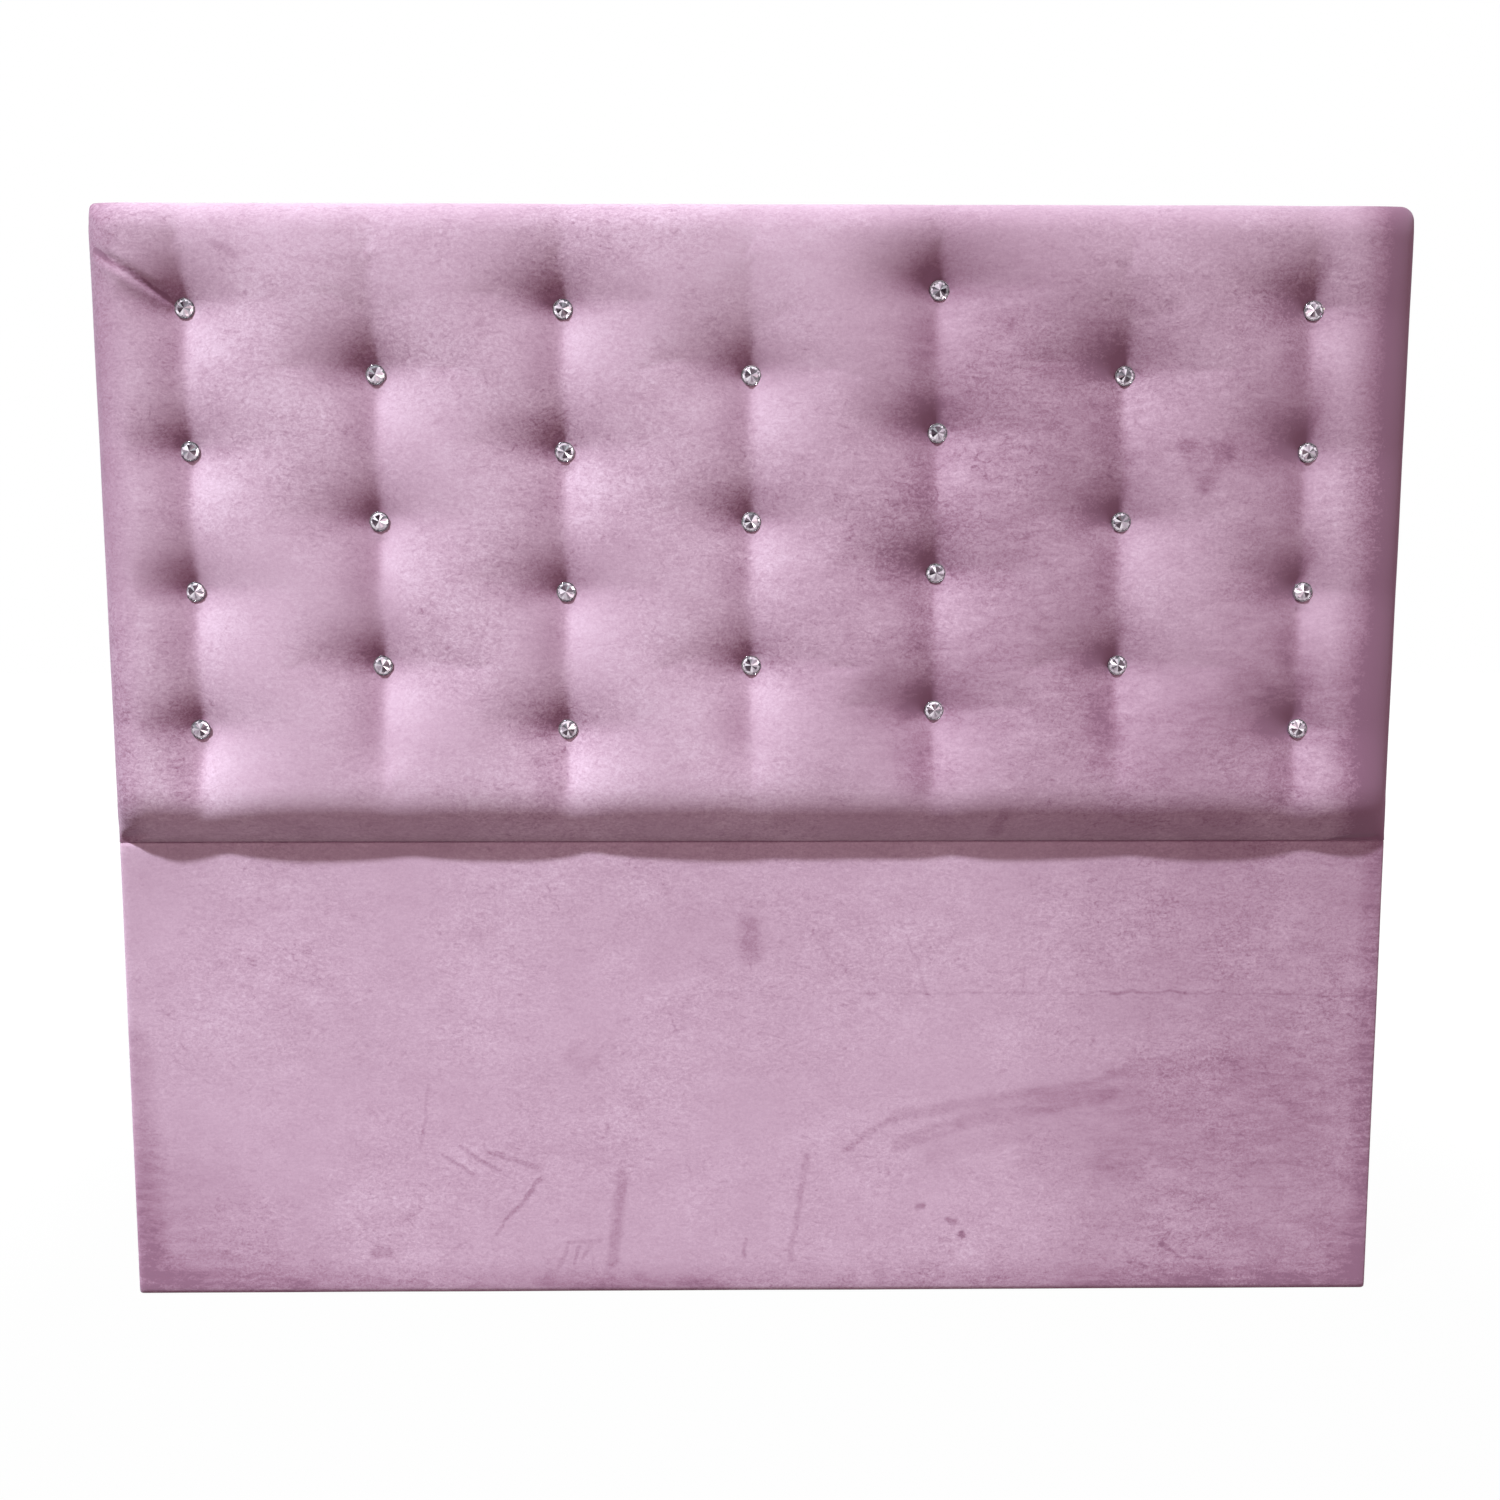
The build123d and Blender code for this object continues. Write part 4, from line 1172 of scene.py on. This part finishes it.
# Lining staples: bent galvanised wire driven through the lining and the flange into the
# battens, with the crowns along the edges.
def staple_tree(finish):
    """Geometry Nodes for wire staples at points, with their crown, leg and wire as inputs."""
    inputs = dict(Places="Geometry", Crown="Float", Leg="Float", Wire="Float")
    tree, given = new_group("wire_staples", "GeometryNodeTree", inputs, "Staples", "Geometry")
    half = combine(tree, "MULTIPLY", given["Crown"], 0.5)
    wire_radius = combine(tree, "MULTIPLY", given["Wire"], 0.5)
    bottom = combine(tree, "MULTIPLY", given["Leg"], -1.0)
    tops, tips = [], []
    for side in (-1.0, 1.0):
        x = combine(tree, "MULTIPLY", half, side)
        tops.append(add_node(tree, "ShaderNodeCombineXYZ", {"X": x}))
        tips.append(add_node(tree, "ShaderNodeCombineXYZ", {"X": x, "Z": bottom}))
    ring = {"Resolution": 8, "Radius": wire_radius}
    ring = add_node(tree, "GeometryNodeCurvePrimitiveCircle", ring)
    joined = new_node(tree, "GeometryNodeJoinGeometry")
    for start, end in ((tips[0], tops[0]), (tops[0], tops[1]), (tops[1], tips[1])):
        span = add_node(tree, "GeometryNodeCurvePrimitiveLine", {"Start": start, "End": end})
        sockets = {"Curve": span, "Profile Curve": ring, "Fill Caps": True}
        wire = add_node(tree, "GeometryNodeCurveToMesh", sockets)
        set_sockets(tree, joined, {"Geometry": wire})
    for top in tops:
        bend = {"Radius": wire_radius, "Subdivisions": 2}
        bend = add_node(tree, "GeometryNodeMeshIcoSphere", bend)
        bend = add_node(tree, "GeometryNodeTransform", {"Geometry": bend, "Translation": top})
        set_sockets(tree, joined, {"Geometry": bend})
    copies = place_copies(tree, given["Places"], joined.outputs["Geometry"])
    end_tree(tree, copies, finish)
    return tree


made = np.random.default_rng(17)
inward, skew = -math.pi / 2, 0.06
staple_y = lining_back - 0.0001
turns = [(inward, made.uniform(-skew, skew), 0) for _ in level_staples]
turns += [(inward, math.pi / 2 + made.uniform(-skew, skew), 0) for _ in upright_staples]
staples = grow_piece(
    "wire_staples",
    [(x, staple_y, z) for x, z in level_staples + upright_staples],
    turns,
    staple_tree(staple_steel),
    {"Crown": 0.0087, "Leg": 0.0095, "Wire": 0.0008},
)
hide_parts("lining_staples")


# Studio: a wide pale floor, a hard key light high on the left, a weak fill light in front, and
# soft light all round. The camera sees the floor and the world as white.
def studio_finish(name, shadow_share):
    """Pale studio card that shows white to the camera, apart from the shadow on it."""
    finish = bpy.data.materials.new(name)
    finish.use_nodes = True
    tree = finish.node_tree
    tree.nodes.clear()
    rays = new_node(tree, "ShaderNodeLightPath").outputs
    seen = combine(tree, "MAXIMUM", rays["Is Camera Ray"], rays["Is Glossy Ray"])
    seen = combine(tree, "MAXIMUM", seen, rays["Is Transmission Ray"])
    card = add_node(tree, "ShaderNodeBsdfDiffuse", {"Color": (0.05, 0.045, 0.045, 1)})
    glow = add_node(tree, "ShaderNodeEmission", {"Color": (1, 1, 1, 1), "Strength": 1.08})
    away = combine_vectors(tree, "LENGTH", surface_place(tree))
    far_share = map_range(tree, away, (0.8, 2.6), (1 - shadow_share, 1.0))
    share = combine(tree, "MULTIPLY", seen, far_share)
    mixed = add_node(tree, "ShaderNodeMixShader", {0: share, 1: card, 2: glow})
    new_node(tree, "ShaderNodeOutputMaterial", {"Surface": mixed})
    return finish


floor_mesh = bpy.data.meshes.new("studio_floor")
floor_half = 14.0
floor_height = -0.0004
floor_corners = [(-1, -1), (1, -1), (1, 1), (-1, 1)]
floor_points = [(x * floor_half, y * floor_half, floor_height) for x, y in floor_corners]
floor_mesh.from_pydata(floor_points, [], [(0, 1, 2, 3)])
floor_mesh.materials.append(studio_finish("studio_card", 0.09))
new_object("studio_floor", floor_mesh)

world = bpy.data.worlds.new("studio")
world.use_nodes = True
tree = world.node_tree
tree.nodes.clear()


def backdrop(colour, strength):
    """One of the world's lights."""
    return add_node(tree, "ShaderNodeBackground", {"Color": (*colour, 1), "Strength": strength})


rays = new_node(tree, "ShaderNodeLightPath").outputs
heading = add_node(tree, "ShaderNodeTexCoord", output="Generated")
strips = bands(tree, heading, "DIAGONAL", 1.6, 5.0, detail=1.0, detail_scale=1.2)
strip_light = map_range(tree, strips, (0.45, 0.6), (0.10, 1.9))
shining = combine(tree, "MAXIMUM", rays["Is Glossy Ray"], rays["Is Transmission Ray"])
soft_light, softboxes = backdrop((1.0, 0.90, 0.88), 0.45), backdrop((1, 1, 1), strip_light)
lit = add_node(tree, "ShaderNodeMixShader", {0: shining, 1: soft_light, 2: softboxes})
sockets = {0: rays["Is Camera Ray"], 1: lit, 2: backdrop((1, 1, 1), 1.0)}
sockets = {"Surface": add_node(tree, "ShaderNodeMixShader", sockets)}
new_node(tree, "ShaderNodeOutputWorld", sockets)
bpy.context.scene.world = world


def studio_lamp(name, kind, place, target, power, colour, **settings):
    """A lamp on a stand, turned to a target."""
    lamp = bpy.data.lights.new(name, kind)
    set_all(lamp, energy=power, color=colour, **settings)
    look_along(new_object(name, lamp, place), Vector(target) - Vector(place))


studio_lamp(
    "key_lamp",
    "SPOT",
    place=(-4.4, -4.6, 9.3),
    target=(-1.9, 0.0, -1.0),
    power=9750,
    colour=(0.79, 1.0, 1.01),
    shadow_soft_size=0.3,
    spot_size=math.radians(51),
    spot_blend=1.0,
)
studio_lamp(
    "fill_lamp",
    "AREA",
    place=(0.9, -3.6, 1.2),
    target=(0.0, 0.0, 0.6),
    power=42,
    colour=(1.0, 0.93, 0.88),
    size=2.4,
)

bpy.context.scene.view_settings.view_transform = "Standard"
